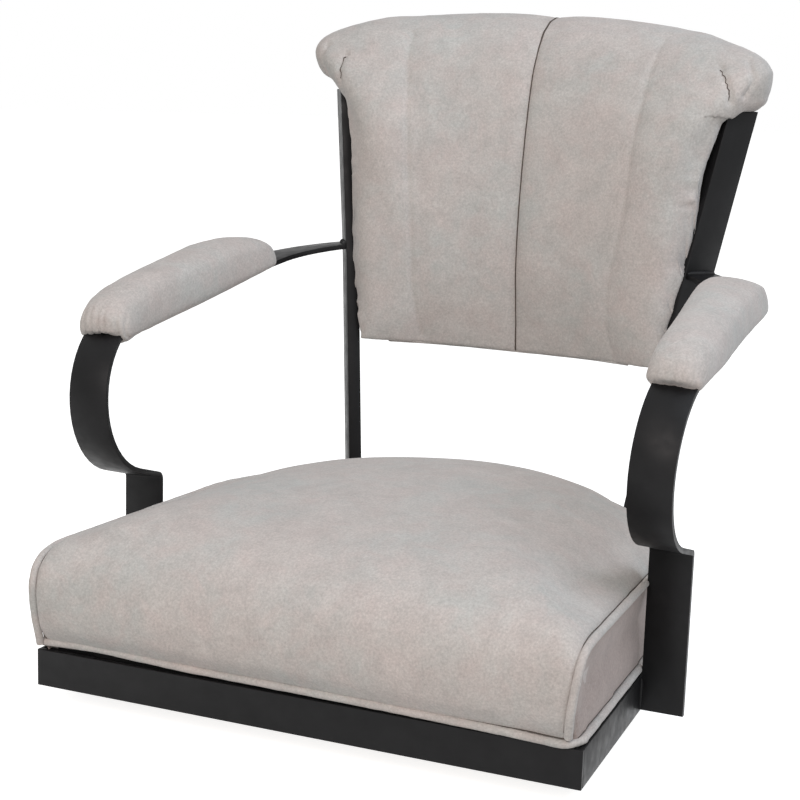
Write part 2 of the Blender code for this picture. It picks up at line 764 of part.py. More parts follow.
def upright_point(sign, z, across, along):
    """A point of an upright: across from its outer face, along from its front face."""
    rise = z - UPRIGHT_BEND_Z
    corner = upright_bend()
    x = corner.x + bent(rise, UPRIGHT_LOWER_LEAN_SHARES[0], UPRIGHT_UPPER_LEAN_SHARES[0])
    y = corner.y + bent(rise, UPRIGHT_LOWER_LEAN_SHARES[1], UPRIGHT_UPPER_LEAN_SHARES[1])
    x += along * math.sin(UPRIGHT_TURN) - across * math.cos(UPRIGHT_TURN)
    y += along * math.cos(UPRIGHT_TURN) + across * math.sin(UPRIGHT_TURN)
    return Vector((sign * x, y, z))


def upright_mesh(name, sign, grow, material=None, cutter=False):
    """An upright as a bar with its bend, or the same bar a little larger as a cutter."""
    low = RAIL_Z - grow
    high = RAIL_Z + UPRIGHT_TOP + grow
    bm = bmesh.new()
    bmesh.ops.create_cube(bm, size=1.0)
    bend = (UPRIGHT_BEND_Z - low) / (high - low) - 0.5
    reach = UPRIGHT_BEND_REACH / (high - low)
    for level in (bend - reach, bend - reach / 2, bend, bend + reach / 2, bend + reach):
        bmesh.ops.bisect_plane(
            bm, geom=bm.verts[:] + bm.edges[:] + bm.faces[:],
            plane_co=(0, 0, level), plane_no=(0, 0, 1))
    for vert in bm.verts:
        across = (vert.co.x + 0.5) * (UPRIGHT_WIDTH + 2 * grow) - grow
        along = (vert.co.y + 0.5) * (UPRIGHT_DEPTH + 2 * grow) - grow
        vert.co = upright_point(sign, low + (vert.co.z + 0.5) * (high - low), across, along)
    return link_mesh(name, finish_mesh(bm, name), material, cutter)


def make_uprights():
    """Two bars turned to face the rear rail's bend and coped to it. Returns their cutters."""
    cope = plate(
        "rear_rail_cope", bend_line(0, 2, 2 * BEND_STEPS, -GAP),
        RAIL_Z - CUT_OVERRUN, RAIL_HEIGHT + 2 * CUT_OVERRUN, cutter=True)
    cutters = {}
    for side, sign in SIDES:
        upright = upright_mesh(side + "_upright", sign, 0, BLACK)
        cut(upright, cope)
        cutters[sign] = upright_mesh(side + "_upright_space", sign, GAP, cutter=True)
    return cutters


def back_edge(height):
    """The right upright's front outer edge in plan, as if it ran straight on below its bend."""
    return upright_bend() + Vector(UPRIGHT_UPPER_LEAN_SHARES) * (height - UPRIGHT_BEND_HEIGHT)


def back_half_width(height):
    """Half the width of the back pad at a height above the rails' foot."""
    return back_edge(height).x - BACK_SIDE_INSET


def back_point(x, z, behind):
    """A point at some distance behind the back face of the back board."""
    height = z - RAIL_Z
    share = (height - BACK_BOARD_LOW) / (UPRIGHT_TOP - BACK_BOARD_LOW)
    radius = BACK_RADIUS_LOW + (BACK_RADIUS_HIGH - BACK_RADIUS_LOW) * share
    side_y = back_edge(height).y + BACK_SET_LOW + (BACK_SET_HIGH - BACK_SET_LOW) * share
    centre_y = side_y - math.sqrt(radius ** 2 - back_half_width(height) ** 2)
    turn = math.asin(x / radius)
    reach = radius + behind
    return Vector((reach * math.sin(turn), centre_y + reach * math.cos(turn), z))


def back_panel(name, inset, behind, thickness, material, cutter=False):
    """A curved fan-shaped panel with rounded lower and upper corners."""
    low = BACK_BOARD_LOW + inset
    high = BACK_BOARD_HIGH - inset
    corner = BACK_BOARD_CORNER

    def place(across, up):
        ease = (1 - math.cos(up * math.pi)) / 2
        height = low + (high - low) * ease
        width = back_half_width(height) - BACK_BOARD_INSET - inset
        edge = min(height - low, high - height)
        if edge < corner:
            width -= corner - math.sqrt(corner * corner - (corner - edge) ** 2)
        return back_point((2 * across - 1) * width, RAIL_Z + height, behind)

    return sheet(name, 20, 14, place, thickness, material, cutter, side=-1.0)


def back_bar(name, height, uprights):
    """A curved flat bar between the uprights, behind the back's cover."""
    behind = BACK_COVER_THICKNESS + 2 * COVER_GAP
    outer = UPRIGHT_WIDTH / 2

    def place(across, up):
        z = RAIL_Z + height + (up - 0.5) * BACK_BAR_HEIGHT
        inner_face = upright_point(1, z, UPRIGHT_WIDTH - outer, UPRIGHT_DEPTH / 3)
        return back_point((2 * across - 1) * inner_face.x, z, behind)

    bar = sheet(name, 24, 1, place, BACK_BAR_THICKNESS, BLACK, side=-1.0)
    for cutter in uprights.values():
        cut(bar, cutter)
    return bar


def back_screw_places():
    """Where the back's screws go in, and the way that they point."""
    behind = BACK_COVER_THICKNESS + BACK_BAR_THICKNESS + 2 * COVER_GAP + GAP
    places = []
    for height in (LOWER_BACK_BAR_HEIGHT, UPPER_BACK_BAR_HEIGHT):
        for x in (-BACK_SCREW_X, BACK_SCREW_X):
            z = RAIL_Z + height
            step = SCREW_HEAD_RADIUS
            across = back_point(x + step, z, behind) - back_point(x - step, z, behind)
            up = back_point(x, z + step, behind) - back_point(x, z - step, behind)
            places.append(facing(back_point(x, z, behind), across.cross(up)))
    return places


def make_back_frame(uprights):
    """Bars, board, cover and screws of the back."""
    board = back_panel("back_board", 0, -BACK_BOARD_THICKNESS, BACK_BOARD_THICKNESS, PLY)
    cover = back_panel("back_cover", 0, COVER_GAP, BACK_COVER_THICKNESS, FABRIC)
    lower = back_bar("lower_back_bar", LOWER_BACK_BAR_HEIGHT, uprights)
    upper = back_bar("upper_back_bar", UPPER_BACK_BAR_HEIGHT, uprights)
    reach = BACK_COVER_THICKNESS + BACK_BAR_THICKNESS + 2 * COVER_GAP + GAP + SCREW_BITE
    hole = SCREW_RADIUS + GAP
    bore = turned_mesh("bore", [
        (0, reach + GAP), (hole, reach + GAP), (hole, -CUT_OVERRUN), (0, -CUT_OVERRUN)], 12)
    holes = set_cutters("back_screw_holes", bore, back_screw_places())
    for piece in (board, cover, lower, upper):
        cut(piece, holes)
    screw = turned_mesh("screw", [
        (0, reach), (SCREW_RADIUS, reach), (SCREW_RADIUS, 0), (SCREW_HEAD_RADIUS, 0),
        (SCREW_HEAD_RADIUS * 0.7, -SCREW_HEAD_HEIGHT), (0, -SCREW_HEAD_HEIGHT)], 12)
    endings = ("lower_left", "lower_right", "upper_left", "upper_right")
    set_each("back_screw", endings, screw, back_screw_places())


def back_stations():
    """Stations across the back cushion: share of the width, pad share, roll share, channel."""
    step = CHANNEL_HALF_WIDTH / back_half_width(UPRIGHT_BEND_HEIGHT)
    depths = {0: CHANNEL_DEPTH, CHANNEL_STATION_SHARE: SIDE_CHANNEL_DEPTH}
    stations = []
    for share, pad, roll in BACK_STATION_SHARES:
        if share == CHANNEL_STATION_SHARE:
            stations.append((share - step, pad, roll, 0))
        stations.append((share, pad, roll, depths.get(share, 0)))
        if share in depths:
            stations.append((share + step, pad, roll, 0))
    mirrored = [(-share, pad, roll, channel) for share, pad, roll, channel in reversed(stations)]
    return mirrored[:-1] + stations


def back_rows(share, pad, roll, channel):
    """The cushion's section at a station, as pairs of an outer and an inner point."""
    rows = []
    for height_share, depth_share in BACK_PANEL_SHARES:
        height = BACK_BOARD_LOW + (UPRIGHT_TOP - BACK_BOARD_LOW) * height_share
        x = share * back_half_width(height)
        depth = BACK_PAD_DEPTH * depth_share * pad - channel
        base = -BACK_BOARD_THICKNESS - GAP - BACK_NECK_EASE * max(height_share, 0) ** 2 * share ** 4
        rows.append((back_point(x, RAIL_Z + height, base - depth), back_point(x, RAIL_Z + height, base)))
    x = share * (back_half_width(UPRIGHT_TOP) + ROLL_OVERHANG)
    ahead = ROLL_PLAN_RADIUS - math.sqrt(ROLL_PLAN_RADIUS ** 2 - x * x)
    axis_y = back_point(0, RAIL_Z + UPRIGHT_TOP, ROLL_BEHIND).y - ahead
    axis_z = RAIL_Z + UPRIGHT_TOP + ROLL_RISE - ROLL_DROP * share * share
    for upper_turn, upper, lower_turn, lower in ROLL_SHARES:
        pair = []
        for turn, distance, groove in (
                (upper_turn, upper, channel), (lower_turn, lower, 0)):
            angle = turn * math.tau
            radius = ROLL_RADIUS * distance * roll - groove
            pair.append(Vector((
                x, axis_y + radius * math.cos(angle), axis_z + radius * math.sin(angle))))
        rows.append(tuple(pair))
    return rows


def make_back_cushion():
    """The channelled back pad whose top rolls over to the rear."""
    rings = []
    for station in back_stations():
        rows = back_rows(*station)
        rings.append([outer for outer, _ in rows] + [inner for _, inner in reversed(rows)])
    count = len(rings[0])
    bm = bmesh.new()
    loops = [[bm.verts.new(point) for point in ring] for ring in rings]
    for near, far in zip(loops, loops[1:]):
        for index in range(count):
            following = (index + 1) % count
            bm.faces.new((near[index], near[following], far[following], far[index]))
    for loop in (loops[0], loops[-1]):
        for index in range(count // 2 - 1):
            bm.faces.new((loop[index], loop[index + 1], loop[-index - 2], loop[-index - 1]))
    obj = link_mesh("back_cushion", finish_mesh(bm, "back_cushion"), FABRIC)
    smooth_form(obj)


def arm_path(arm_heading, run_length):
    """The middle of an arm strap for the right side: points, width directions and lengths.

    The pitch is the strap's direction in a plane from front to back, where 90 degrees is up
    and 180 degrees is forward. The heading turns that plane towards the middle of the seat.
    """
    leg_top = RAIL_Z + LEG_TOP
    leg_y = FRONT_Y + LEG_SETBACK + BAR_THICKNESS / 2
    leg_x = side_x(FRONT_Y + LEG_SETBACK) + GAP + BAR_WIDTH / 2
    up = math.pi / 2
    forward = up - LOOP_FOOT_RISE
    end_heading = math.pi / 2 - UPRIGHT_TURN
    # Each stretch: length, change of pitch, change of heading, steps
    stretches = (
        (LEG_TOP - LEG_FOOT, 0, 0, 2),
        (TIGHT_BEND_RADIUS * forward, forward, 0, 5),
        (LOOP_LEAD, 0, 0, 1),
        (LOOP_RADIUS * forward, -forward, 0, 10),
        (LOOP_RADIUS * (up - ARM_RISE), ARM_RISE - up, 0, 12),
        (ARM_SET_LENGTH, 0, arm_heading, 3),
        (run_length, 0, 0, 5),
        (ARM_TURN_RADIUS * (end_heading - arm_heading), 0, end_heading - arm_heading, 9),
        (UPRIGHT_WIDTH / 2, 0, 0, 1),
    )
    point = Vector((leg_x, leg_y, RAIL_Z + LEG_FOOT))
    pitch = up
    heading = 0.0
    length = 0.0
    path = [(point.copy(), Vector((1, 0, 0)), length)]
    marks = []
    for stretch, pitch_turn, heading_turn, steps in stretches:
        for _ in range(steps):
            half_pitch = pitch_turn / steps / 2
            half_heading = heading_turn / steps / 2
            pitch += half_pitch
            heading += half_heading
            chord = stretch / steps
            for half in (half_pitch, half_heading):
                if half:
                    chord *= math.sin(half) / half
            point = point + chord * Vector((
                -math.sin(heading) * math.cos(pitch),
                math.cos(heading) * math.cos(pitch),
                math.sin(pitch)))
            pitch += half_pitch
            heading += half_heading
            length += stretch / steps
            rise = max(point.z - leg_top, 0)
            lean = ARM_LEAN * min(rise / TIGHT_BEND_RADIUS, 1)
            leaned = point + Vector((rise * math.tan(ARM_LEAN), 0, 0))
            width = Vector((math.cos(heading) * math.cos(lean), math.sin(heading), -math.sin(lean)))
            path.append((leaned, width.normalized(), length))
        marks.append(length)
    return path, marks


def fitted_arm_path():
    """The arm's path with the heading and run that bring it square to the upright's outer face."""
    heading = 0.0
    run_length = ARM_TURN_RADIUS
    for _ in range(FIT_STEPS):
        path, marks = arm_path(heading, run_length)
        start = path_at(path, marks[4])[0]
        end = path_at(path, marks[7])[0]
        miss = (upright_point(1, end.z, 0, ARM_WELD_SETBACK) - end).to_2d()
        ahead = Vector((-math.sin(heading), math.cos(heading)))
        inward = Vector((-math.cos(heading), -math.sin(heading)))
        run_length += miss.dot(ahead)
        heading += miss.dot(inward) / (end - start).to_2d().length
    return path, marks


def path_at(path, length):
    """The strap's point, width direction and outward normal at a length along it."""
    for (start, start_width, start_length), (end, end_width, end_length) in zip(path, path[1:]):
        if length <= end_length or end_length == path[-1][2]:
            share = (length - start_length) / (end_length - start_length)
            width = start_width.lerp(end_width, share).normalized()
            normal = width.cross((end - start).normalized()).normalized()
            return start.lerp(end, share), width, normal
    raise ValueError("length is beyond the strap")


def strap(name, path, sign, grow, material=None, cutter=False):
    """An arm strap bent along its path, or the same a little larger as a cutter."""
    rows = len(path) - 1

    def place(across, along):
        point, width, _ = path[round(along * rows)]
        spot = point + width * (across - 0.5) * (BAR_WIDTH + 2 * grow)
        return Vector((sign * spot.x, spot.y, spot.z))

    return sheet(name, 1, rows, place, BAR_THICKNESS + 2 * grow, material, cutter)


def pad_board(name, path, sign, low, high, grow, material=None, cutter=False):
    """The board inside an arm pad, flat on the strap."""
    def place(across, along):
        point, width, normal = path_at(path, low - grow + (high - low + 2 * grow) * along)
        spot = point + width * (across - 0.5) * (PAD_BOARD_WIDTH + 2 * grow)
        spot += normal * (BAR_THICKNESS / 2 + GAP + PAD_BOARD_THICKNESS / 2)
        return Vector((sign * spot.x, spot.y, spot.z))

    return sheet(name, 1, 4, place, PAD_BOARD_THICKNESS + 2 * grow, material, cutter)


def pad_rings(path, sign, low, high):
    """The rings of an arm pad along its strap, front end first."""
    rings = []
    for along, wide, tall, deep in PAD_RING_SHARES:
        point, width, normal = path_at(path, low + (high - low) * along)
        ring = []
        for across, up in PAD_SECTION_SHARES:
            lift = up * PAD_CROWN * tall if up > 0 else up * PAD_UNDER * deep
            spot = point + width * across * PAD_HALF_WIDTH * wide + normal * lift
            ring.append(Vector((sign * spot.x, spot.y, spot.z)))
        rings.append(ring)
    return rings


def bead(name, start, end, radius, cutters):
    """A weld bead along a straight line, hollowed by what it joins."""
    bm = bmesh.new()
    bmesh.ops.create_cone(
        bm, cap_ends=True, segments=12, radius1=radius, radius2=radius,
        depth=(end - start).length, matrix=facing((start + end) / 2, end - start))
    obj = link_mesh(name, finish_mesh(bm, name), BLACK)
    for cutter in cutters:
        cut(obj, cutter)


def make_arms(uprights):
    """Bent straps, welded to the side rails and the uprights, with a pad on each."""
    path, marks = fitted_arm_path()
    loop_top = marks[4]
    run_end = marks[6]
    weld_mark = marks[7]
    pad_low = loop_top - LOOP_RADIUS * PAD_WRAP_ANGLE
    pad_high = run_end - PAD_TAIL
    board_low = loop_top + PAD_BOARD_MARGIN
    board_high = run_end - PAD_BOARD_MARGIN
    screw_lengths = (board_low + PAD_SCREW_MARGIN, board_high - PAD_SCREW_MARGIN)
    screw_places = []
    for side, sign in SIDES:
        for length in screw_lengths:
            point, _, normal = path_at(path, length)
            seat = point - normal * BAR_THICKNESS / 2
            seat.x *= sign
            screw_places.append(facing(seat, (sign * normal.x, normal.y, normal.z)))
    reach = BAR_THICKNESS + GAP + SCREW_BITE
    screw = turned_mesh("pad_screw", [
        (0, reach), (SCREW_RADIUS, reach), (SCREW_RADIUS, SCREW_HEAD_HEIGHT),
        (SCREW_HEAD_RADIUS, 0), (0, 0)], 12)
    set_each("pad_screw", ("left_front", "left_rear", "right_front", "right_rear"), screw, screw_places)
    hole = turned_mesh("pad_screw_hole", [
        (0, reach + GAP), (SCREW_RADIUS + GAP, reach + GAP),
        (SCREW_RADIUS + GAP, SCREW_HEAD_HEIGHT + GAP), (SCREW_HEAD_RADIUS + GAP, GAP),
        (SCREW_HEAD_RADIUS + GAP, -CUT_OVERRUN), (0, -CUT_OVERRUN)], 12)
    holes = set_cutters("pad_screw_holes", hole, screw_places)

    for side, sign in SIDES:
        arm = strap(side + "_arm_strap", path, sign, 0, BLACK)
        space = strap(side + "_strap_space", path, sign, GAP, cutter=True)
        board = pad_board(side + "_pad_board", path, sign, board_low, board_high, 0, PLY)
        board_space = pad_board(
            side + "_pad_board_space", path, sign, board_low, board_high, GAP, cutter=True)
        pad = loft(side + "_arm_pad", pad_rings(path, sign, pad_low, pad_high), FABRIC)
        cut(arm, uprights[sign])
        cut(arm, holes)
        cut(board, holes)
        cut(pad, space)
        cut(pad, board_space)

        point, width, normal = path_at(path, weld_mark)
        ends = []
        for edge in (-0.5, 0.5):
            spot = point + normal * BAR_THICKNESS / 2 + width * edge * BAR_WIDTH
            ends.append(on_outer_face(sign, Vector((sign * spot.x, spot.y, spot.z))))
        bead(side + "_arm_weld", *ends, ARM_WELD_RADIUS, (space, uprights[sign]))


def on_outer_face(sign, spot):
    """The nearest point to a spot on the outer face of an upright, at the spot's height."""
    base = upright_point(sign, spot.z, 0, 0)
    along = (upright_point(sign, spot.z, 0, UPRIGHT_DEPTH) - base).normalized()
    return base + along * (spot - base).dot(along)


def make_leg_welds():
    """Upright beads in front of the arm straps, where their edges meet the side rails."""
    front = FRONT_Y + LEG_SETBACK
    rear = front + BAR_THICKNESS
    inset = RAIL_THICKNESS
    low = RAIL_Z + LEG_FOOT
    for side, sign in SIDES:
        x = sign * side_x(front)
        near = front - LEG_WELD_RADIUS * 2
        far = rear + LEG_WELD_RADIUS * 2
        rail_space = plate(side + "_rail_space", [
            (sign * (side_x(near) + GAP), near), (sign * (side_x(far) + GAP), far),
            (sign * side_x(far, inset), far), (sign * side_x(near, inset), near),
        ], RAIL_Z - CUT_OVERRUN, RAIL_HEIGHT + 2 * CUT_OVERRUN, cutter=True)
        leg_space = plate(side + "_leg_space", [
            (sign * (side_x(front)), front - GAP), (sign * (side_x(front) + BAR_WIDTH), front - GAP),
            (sign * (side_x(front) + BAR_WIDTH), rear + GAP), (sign * (side_x(front)), rear + GAP),
        ], RAIL_Z - CUT_OVERRUN, RAIL_HEIGHT + 2 * CUT_OVERRUN, cutter=True)
        bead(side + "_leg_weld", Vector((x, front, low)), Vector((x, front, RAIL_TOP - LEG_FOOT)),
             LEG_WELD_RADIUS, (rail_space, leg_space))


clear_scene()
STOOL = new_collection("swivel_counter_stool")
CUTTERS = new_collection("cutters")
FABRIC = new_material("nubuck_fabric", (0.50, 0.46, 0.42), 0.90, 0.0)
BLACK = new_material("black_powder_coat", (0.020, 0.020, 0.021), 0.45, 0.0)
STEEL = new_material("bright_steel", (0.60, 0.60, 0.60), 0.30, 1.0)
ZINC = new_material("zinc_plate", (0.52, 0.53, 0.55), 0.40, 1.0)
ACETAL = new_material("white_acetal", (0.80, 0.80, 0.78), 0.45, 0.0)
PLY = new_material("plywood", (0.52, 0.36, 0.20), 0.70, 0.0)

swivel_bolt_holes = make_swivel()
make_frame(swivel_bolt_holes)
seat_board_holes = make_gussets()
make_seat(seat_board_holes)
upright_spaces = make_uprights()
make_back_frame(upright_spaces)
make_back_cushion()
make_arms(upright_spaces)
make_leg_welds()
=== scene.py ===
"""Swivel counter stool, seat unit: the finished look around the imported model."""

import math

import bmesh
import bpy
import numpy as np
from bpy.props import FloatProperty, FloatVectorProperty, IntProperty, PointerProperty
from bpy.types import NodeSocket, Operator, Panel, PropertyGroup
from mathutils import Matrix, Vector, noise
from mathutils.bvhtree import BVHTree
from mathutils.kdtree import KDTree


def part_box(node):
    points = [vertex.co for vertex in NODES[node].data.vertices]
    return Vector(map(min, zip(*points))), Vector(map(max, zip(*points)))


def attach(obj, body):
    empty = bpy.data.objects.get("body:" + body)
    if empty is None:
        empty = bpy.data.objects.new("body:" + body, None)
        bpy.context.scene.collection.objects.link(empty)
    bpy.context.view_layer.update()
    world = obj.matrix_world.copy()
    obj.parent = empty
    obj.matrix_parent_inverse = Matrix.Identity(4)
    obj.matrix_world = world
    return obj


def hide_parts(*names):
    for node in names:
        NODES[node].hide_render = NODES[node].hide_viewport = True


bl_info = {
    "name": "Swivel Counter Stool",
    "version": (1, 0, 0),
    "blender": (4, 5, 0),
    "location": "View3D > Sidebar > Stool",
    "description": "Finishes the seat unit of a swivel counter stool",
    "category": "Object",
}

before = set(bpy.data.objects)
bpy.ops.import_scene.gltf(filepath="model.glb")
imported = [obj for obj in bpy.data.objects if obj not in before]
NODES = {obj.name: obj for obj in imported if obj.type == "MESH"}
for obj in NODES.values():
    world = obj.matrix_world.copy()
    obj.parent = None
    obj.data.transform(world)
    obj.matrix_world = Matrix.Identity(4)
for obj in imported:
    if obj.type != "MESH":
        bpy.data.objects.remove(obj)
SIDES = (("left", -1), ("right", 1))


# Colours and node trees

def linear(code):
    """A linear colour from an sRGB hex code."""
    channels = [int(code[index:index + 2], 16) / 255 for index in (1, 3, 5)]
    return tuple(c / 12.92 if c <= 0.04045 else ((c + 0.055) / 1.055) ** 2.4 for c in channels)


def add_node(tree, kind, inputs=None, **settings):
    """Adds a node with its settings. An input is a value, or the socket that feeds it."""
    node = tree.nodes.new(kind)
    for name, value in settings.items():
        setattr(node, name, value)
    for key, value in (inputs or {}).items():
        socket = next((s for s in node.inputs if s.identifier == key), None)
        socket = socket or node.inputs[key]
        if isinstance(value, NodeSocket):
            tree.links.new(value, socket)
        elif socket.type == "RGBA":
            socket.default_value = (*value, 1.0)
        else:
            socket.default_value = value
    return node


def math_node(tree, operation, *values):
    """One step of arithmetic. A value is a number, or the socket that feeds it."""
    inputs = dict(enumerate(values))
    return add_node(tree, "ShaderNodeMath", inputs, operation=operation).outputs[0]


def configured(thing, **settings):
    """Gives a thing its settings."""
    for name, value in settings.items():
        setattr(thing, name, value)
    return thing


def tinted(colour, share, lift=0.0):
    """A darker or paler shade of a colour."""
    return tuple(channel * share + lift for channel in colour)


def new_material(name):
    """An empty material, its tree, and the piece's own coordinates."""
    material = bpy.data.materials.new(name)
    material.use_nodes = True
    tree = material.node_tree
    tree.nodes.clear()
    return material, tree, add_node(tree, "ShaderNodeTexCoord").outputs["Object"]


def finish_material(tree, inputs):
    """Puts a Principled shader with these inputs at the end of a tree."""
    shader = add_node(tree, "ShaderNodeBsdfPrincipled", inputs)
    add_node(tree, "ShaderNodeOutputMaterial", {"Surface": shader.outputs["BSDF"]})


def spread(tree, source, low, high, start=0.35, stop=0.65):
    """A noise value spread over a range."""
    return add_node(tree, "ShaderNodeMapRange", {
        "Value": source, "From Min": start, "From Max": stop, "To Min": low, "To Max": high,
    }).outputs["Result"]


def grain(tree, size, coords, detail=3.0, roughness=0.55, distortion=0.0):
    """Noise whose blotches are about this many metres across."""
    return add_node(tree, "ShaderNodeTexNoise", {
        "Vector": coords, "Scale": 1 / size, "Detail": detail, "Roughness": roughness,
        "Distortion": distortion,
    }).outputs["Fac"]


def bump(tree, strength, distance, height):
    """A relief in the surface, this many metres deep at full strength."""
    return add_node(tree, "ShaderNodeBump", {
        "Strength": strength, "Distance": distance, "Height": height}).outputs["Normal"]


def camera_sees(tree):
    """1 where a ray comes straight from the camera or off something shiny or clear."""
    path = add_node(tree, "ShaderNodeLightPath").outputs
    seen = math_node(tree, "MAXIMUM", path["Is Camera Ray"], path["Is Glossy Ray"])
    return math_node(tree, "MAXIMUM", seen, path["Is Transmission Ray"])


def blend_colour(tree, factor, first, second, mode="MIX"):
    """One colour laid over another."""
    node = add_node(tree, "ShaderNodeMix", data_type="RGBA", blend_type=mode, inputs={
        "Factor_Float": factor, "A_Color": first, "B_Color": second})
    return next(socket for socket in node.outputs if socket.identifier == "Result_Color")


def nubuck(name, base, cool, warm, side):
    """Sueded microfibre: a soft short nap, brushed into paler and darker clouds."""
    material, tree, coords = new_material(name)
    # Clouds of 70 mm and 25 mm, cool and warm, as rubbing leaves them
    cloud = spread(tree, grain(tree, 0.070, coords, 3.0, 0.5, 0.4), 0.0, 0.85, 0.38, 0.66)
    patch = spread(tree, grain(tree, 0.025, coords, 4.0, 0.6, 0.6), 0.0, 0.60, 0.42, 0.70)
    colour = blend_colour(tree, cloud, base, cool)
    colour = blend_colour(tree, patch, colour, warm)
    # Painted shade: the side panels take the darker, pinker side colour, for the dimmer light that
    # falls on them
    boxing = add_node(tree, "ShaderNodeAttribute", attribute_name="boxing").outputs["Fac"]
    colour = blend_colour(tree, boxing, colour, side)
    # Paler rubs 30 mm and 7 mm across, and the speckle of the nap, 2 mm
    brushed = spread(tree, grain(tree, 0.030, coords, 5.0, 0.62, 0.8), 0.93, 1.06, 0.32, 0.68)
    rub = spread(tree, grain(tree, 0.007, coords, 4.0, 0.7, 1.2), 0.95, 1.05, 0.3, 0.7)
    fleck = spread(tree, grain(tree, 0.0020, coords, 3.0, 0.75), 0.86, 1.14, 0.32, 0.68)
    tone = math_node(tree, "MULTIPLY", math_node(tree, "MULTIPLY", rub, fleck), brushed)
    shade = add_node(tree, "ShaderNodeCombineColor", {
        "Red": tone, "Green": tone, "Blue": tone}).outputs["Color"]
    colour = blend_colour(tree, 1.0, colour, shade, "MULTIPLY")
    # The nap itself is finer than a pixel, so it is drawn 0.9 mm coarse
    nap = grain(tree, 0.0009, coords, 2.0, 0.7)
    pebble = grain(tree, 0.005, coords, 3.0, 0.6)
    normal = bump(tree, 0.45, 0.0006, math_node(tree, "MULTIPLY_ADD", nap, 0.35, pebble))
    finish_material(tree, {
        "Base Color": colour, "Roughness": spread(tree, patch, 0.88, 0.96, 0.0, 1.0),
        "Normal": normal, "Specular IOR Level": 0.25, "Sheen Weight": 0.20,
        "Sheen Roughness": 0.45,
    })
    return material


def shade_cloth(name, colour):
    """Painted shade: a dull black cloth with a fine even weave, for the shadow in the gap under
    the welt.
    """
    material, tree, coords = new_material(name)
    weave = grain(tree, 0.0008, coords, 1.0)
    finish_material(tree, {
        "Base Color": blend_colour(tree, weave, colour, tinted(colour, 1.6)),
        "Roughness": 0.95, "Specular IOR Level": 0.2})
    return material


def seam_shade_thread(name, colour):
    """A dark thread laid along a seam: painted shade, standing in for the shadow of the sunk seam.
    """
    material, tree, coords = new_material(name)
    twist = grain(tree, 0.0010, coords, 1.0)
    finish_material(tree, {
        "Base Color": blend_colour(tree, twist, colour, tinted(colour, 0.7)), "Roughness": 0.85,
        "Specular IOR Level": 0.25})
    return material


def powder_coat(name, colour):
    """Baked powder on steel: near black, satin, with a fine orange peel."""
    material, tree, coords = new_material(name)
    # Orange peel 0.9 mm across, over slow waves of film thickness 12 mm across
    peel = grain(tree, 0.0009, coords, 1.0, 0.5)
    film = grain(tree, 0.012, coords, 2.0, 0.5)
    normal = bump(tree, 0.12, 0.0004, math_node(tree, "MULTIPLY_ADD", peel, 0.25, film))
    worn = spread(tree, grain(tree, 0.045, coords, 4.0, 0.6), 0.0, 1.0, 0.40, 0.70)
    finish_material(tree, {
        "Base Color": blend_colour(tree, worn, colour, tinted(colour, 1.45, 0.001)),
        "Roughness": spread(tree, film, 0.40, 0.52), "Normal": normal,
        "Specular IOR Level": 0.18,
    })
    return material


def metal(name, colour, low, high, pitch):
    """Bare or plated metal: turning marks or the crystal grain of zinc, and uneven polish."""
    material, tree, coords = new_material(name)
    cloud = grain(tree, 0.006, coords, 4.0, 0.6, 0.5)
    fine = grain(tree, pitch, coords, 2.0, 0.6)
    finish_material(tree, {
        "Base Color": blend_colour(
            tree, spread(tree, cloud, 0.0, 1.0), colour, tinted(colour, 0.80)),
        "Metallic": 1.0, "Roughness": spread(tree, cloud, low, high),
        "Normal": bump(tree, 0.15, 0.0002, fine),
    })
    return material


def moulded_plastic(name, colour):
    """Acetal: a waxy white plastic, machined, with a faint lay 0.5 mm apart."""
    material, tree, coords = new_material(name)
    rings = add_node(tree, "ShaderNodeTexWave", {
        "Vector": coords, "Scale": 320.0, "Distortion": 0.3,
    }, wave_type="RINGS", rings_direction="Z").outputs["Fac"]
    cloud = grain(tree, 0.010, coords)
    finish_material(tree, {
        "Base Color": blend_colour(
            tree, spread(tree, cloud, 0.0, 1.0), colour, tinted(colour, 0.93)),
        "Roughness": spread(tree, cloud, 0.38, 0.48), "IOR": 1.48,
        "Normal": bump(tree, 0.10, 0.0002, rings),
        "Subsurface Weight": 0.05, "Subsurface Scale": 0.004,
    })
    return material


def plywood(name, pale, dark):
    """Birch ply: long grain on its faces and glued layers 1.5 mm thick on its edges."""
    material, tree, coords = new_material(name)
    stretched = add_node(tree, "ShaderNodeMapping", {
        "Vector": coords, "Scale": (1.0, 0.08, 1.0)}).outputs["Vector"]
    streak = grain(tree, 0.003, stretched, 5.0, 0.65, 0.4)
    cloud = grain(tree, 0.030, stretched, 3.0)
    layers = add_node(tree, "ShaderNodeTexWave", {
        "Vector": coords, "Scale": 105.0, "Distortion": 0.4, "Detail": 2.0,
    }, bands_direction="Z").outputs["Fac"]
    face = math_node(tree, "MULTIPLY", streak, cloud)
    colour = blend_colour(tree, spread(tree, face, 0.0, 0.9, 0.15, 0.40), pale, dark)
    colour = blend_colour(tree, spread(tree, layers, 0.0, 0.35, 0.45, 0.60), colour, dark)
    finish_material(tree, {
        "Base Color": colour, "Roughness": spread(tree, streak, 0.60, 0.78),
        "Normal": bump(tree, 0.2, 0.0003, streak)})
    return material


# Sizes and colours that a user would change

def colour_setting(name, description, code):
    """A colour that a user can change."""
    return FloatVectorProperty(
        name=name, description=description, default=linear(code), subtype="COLOR",
        size=3, min=0.0, max=1.0)


def length_setting(name, description, default):
    """A length that a user can change."""
    return FloatProperty(
        name=name, description=description, default=default, subtype="DISTANCE",
        unit="LENGTH", precision=4)


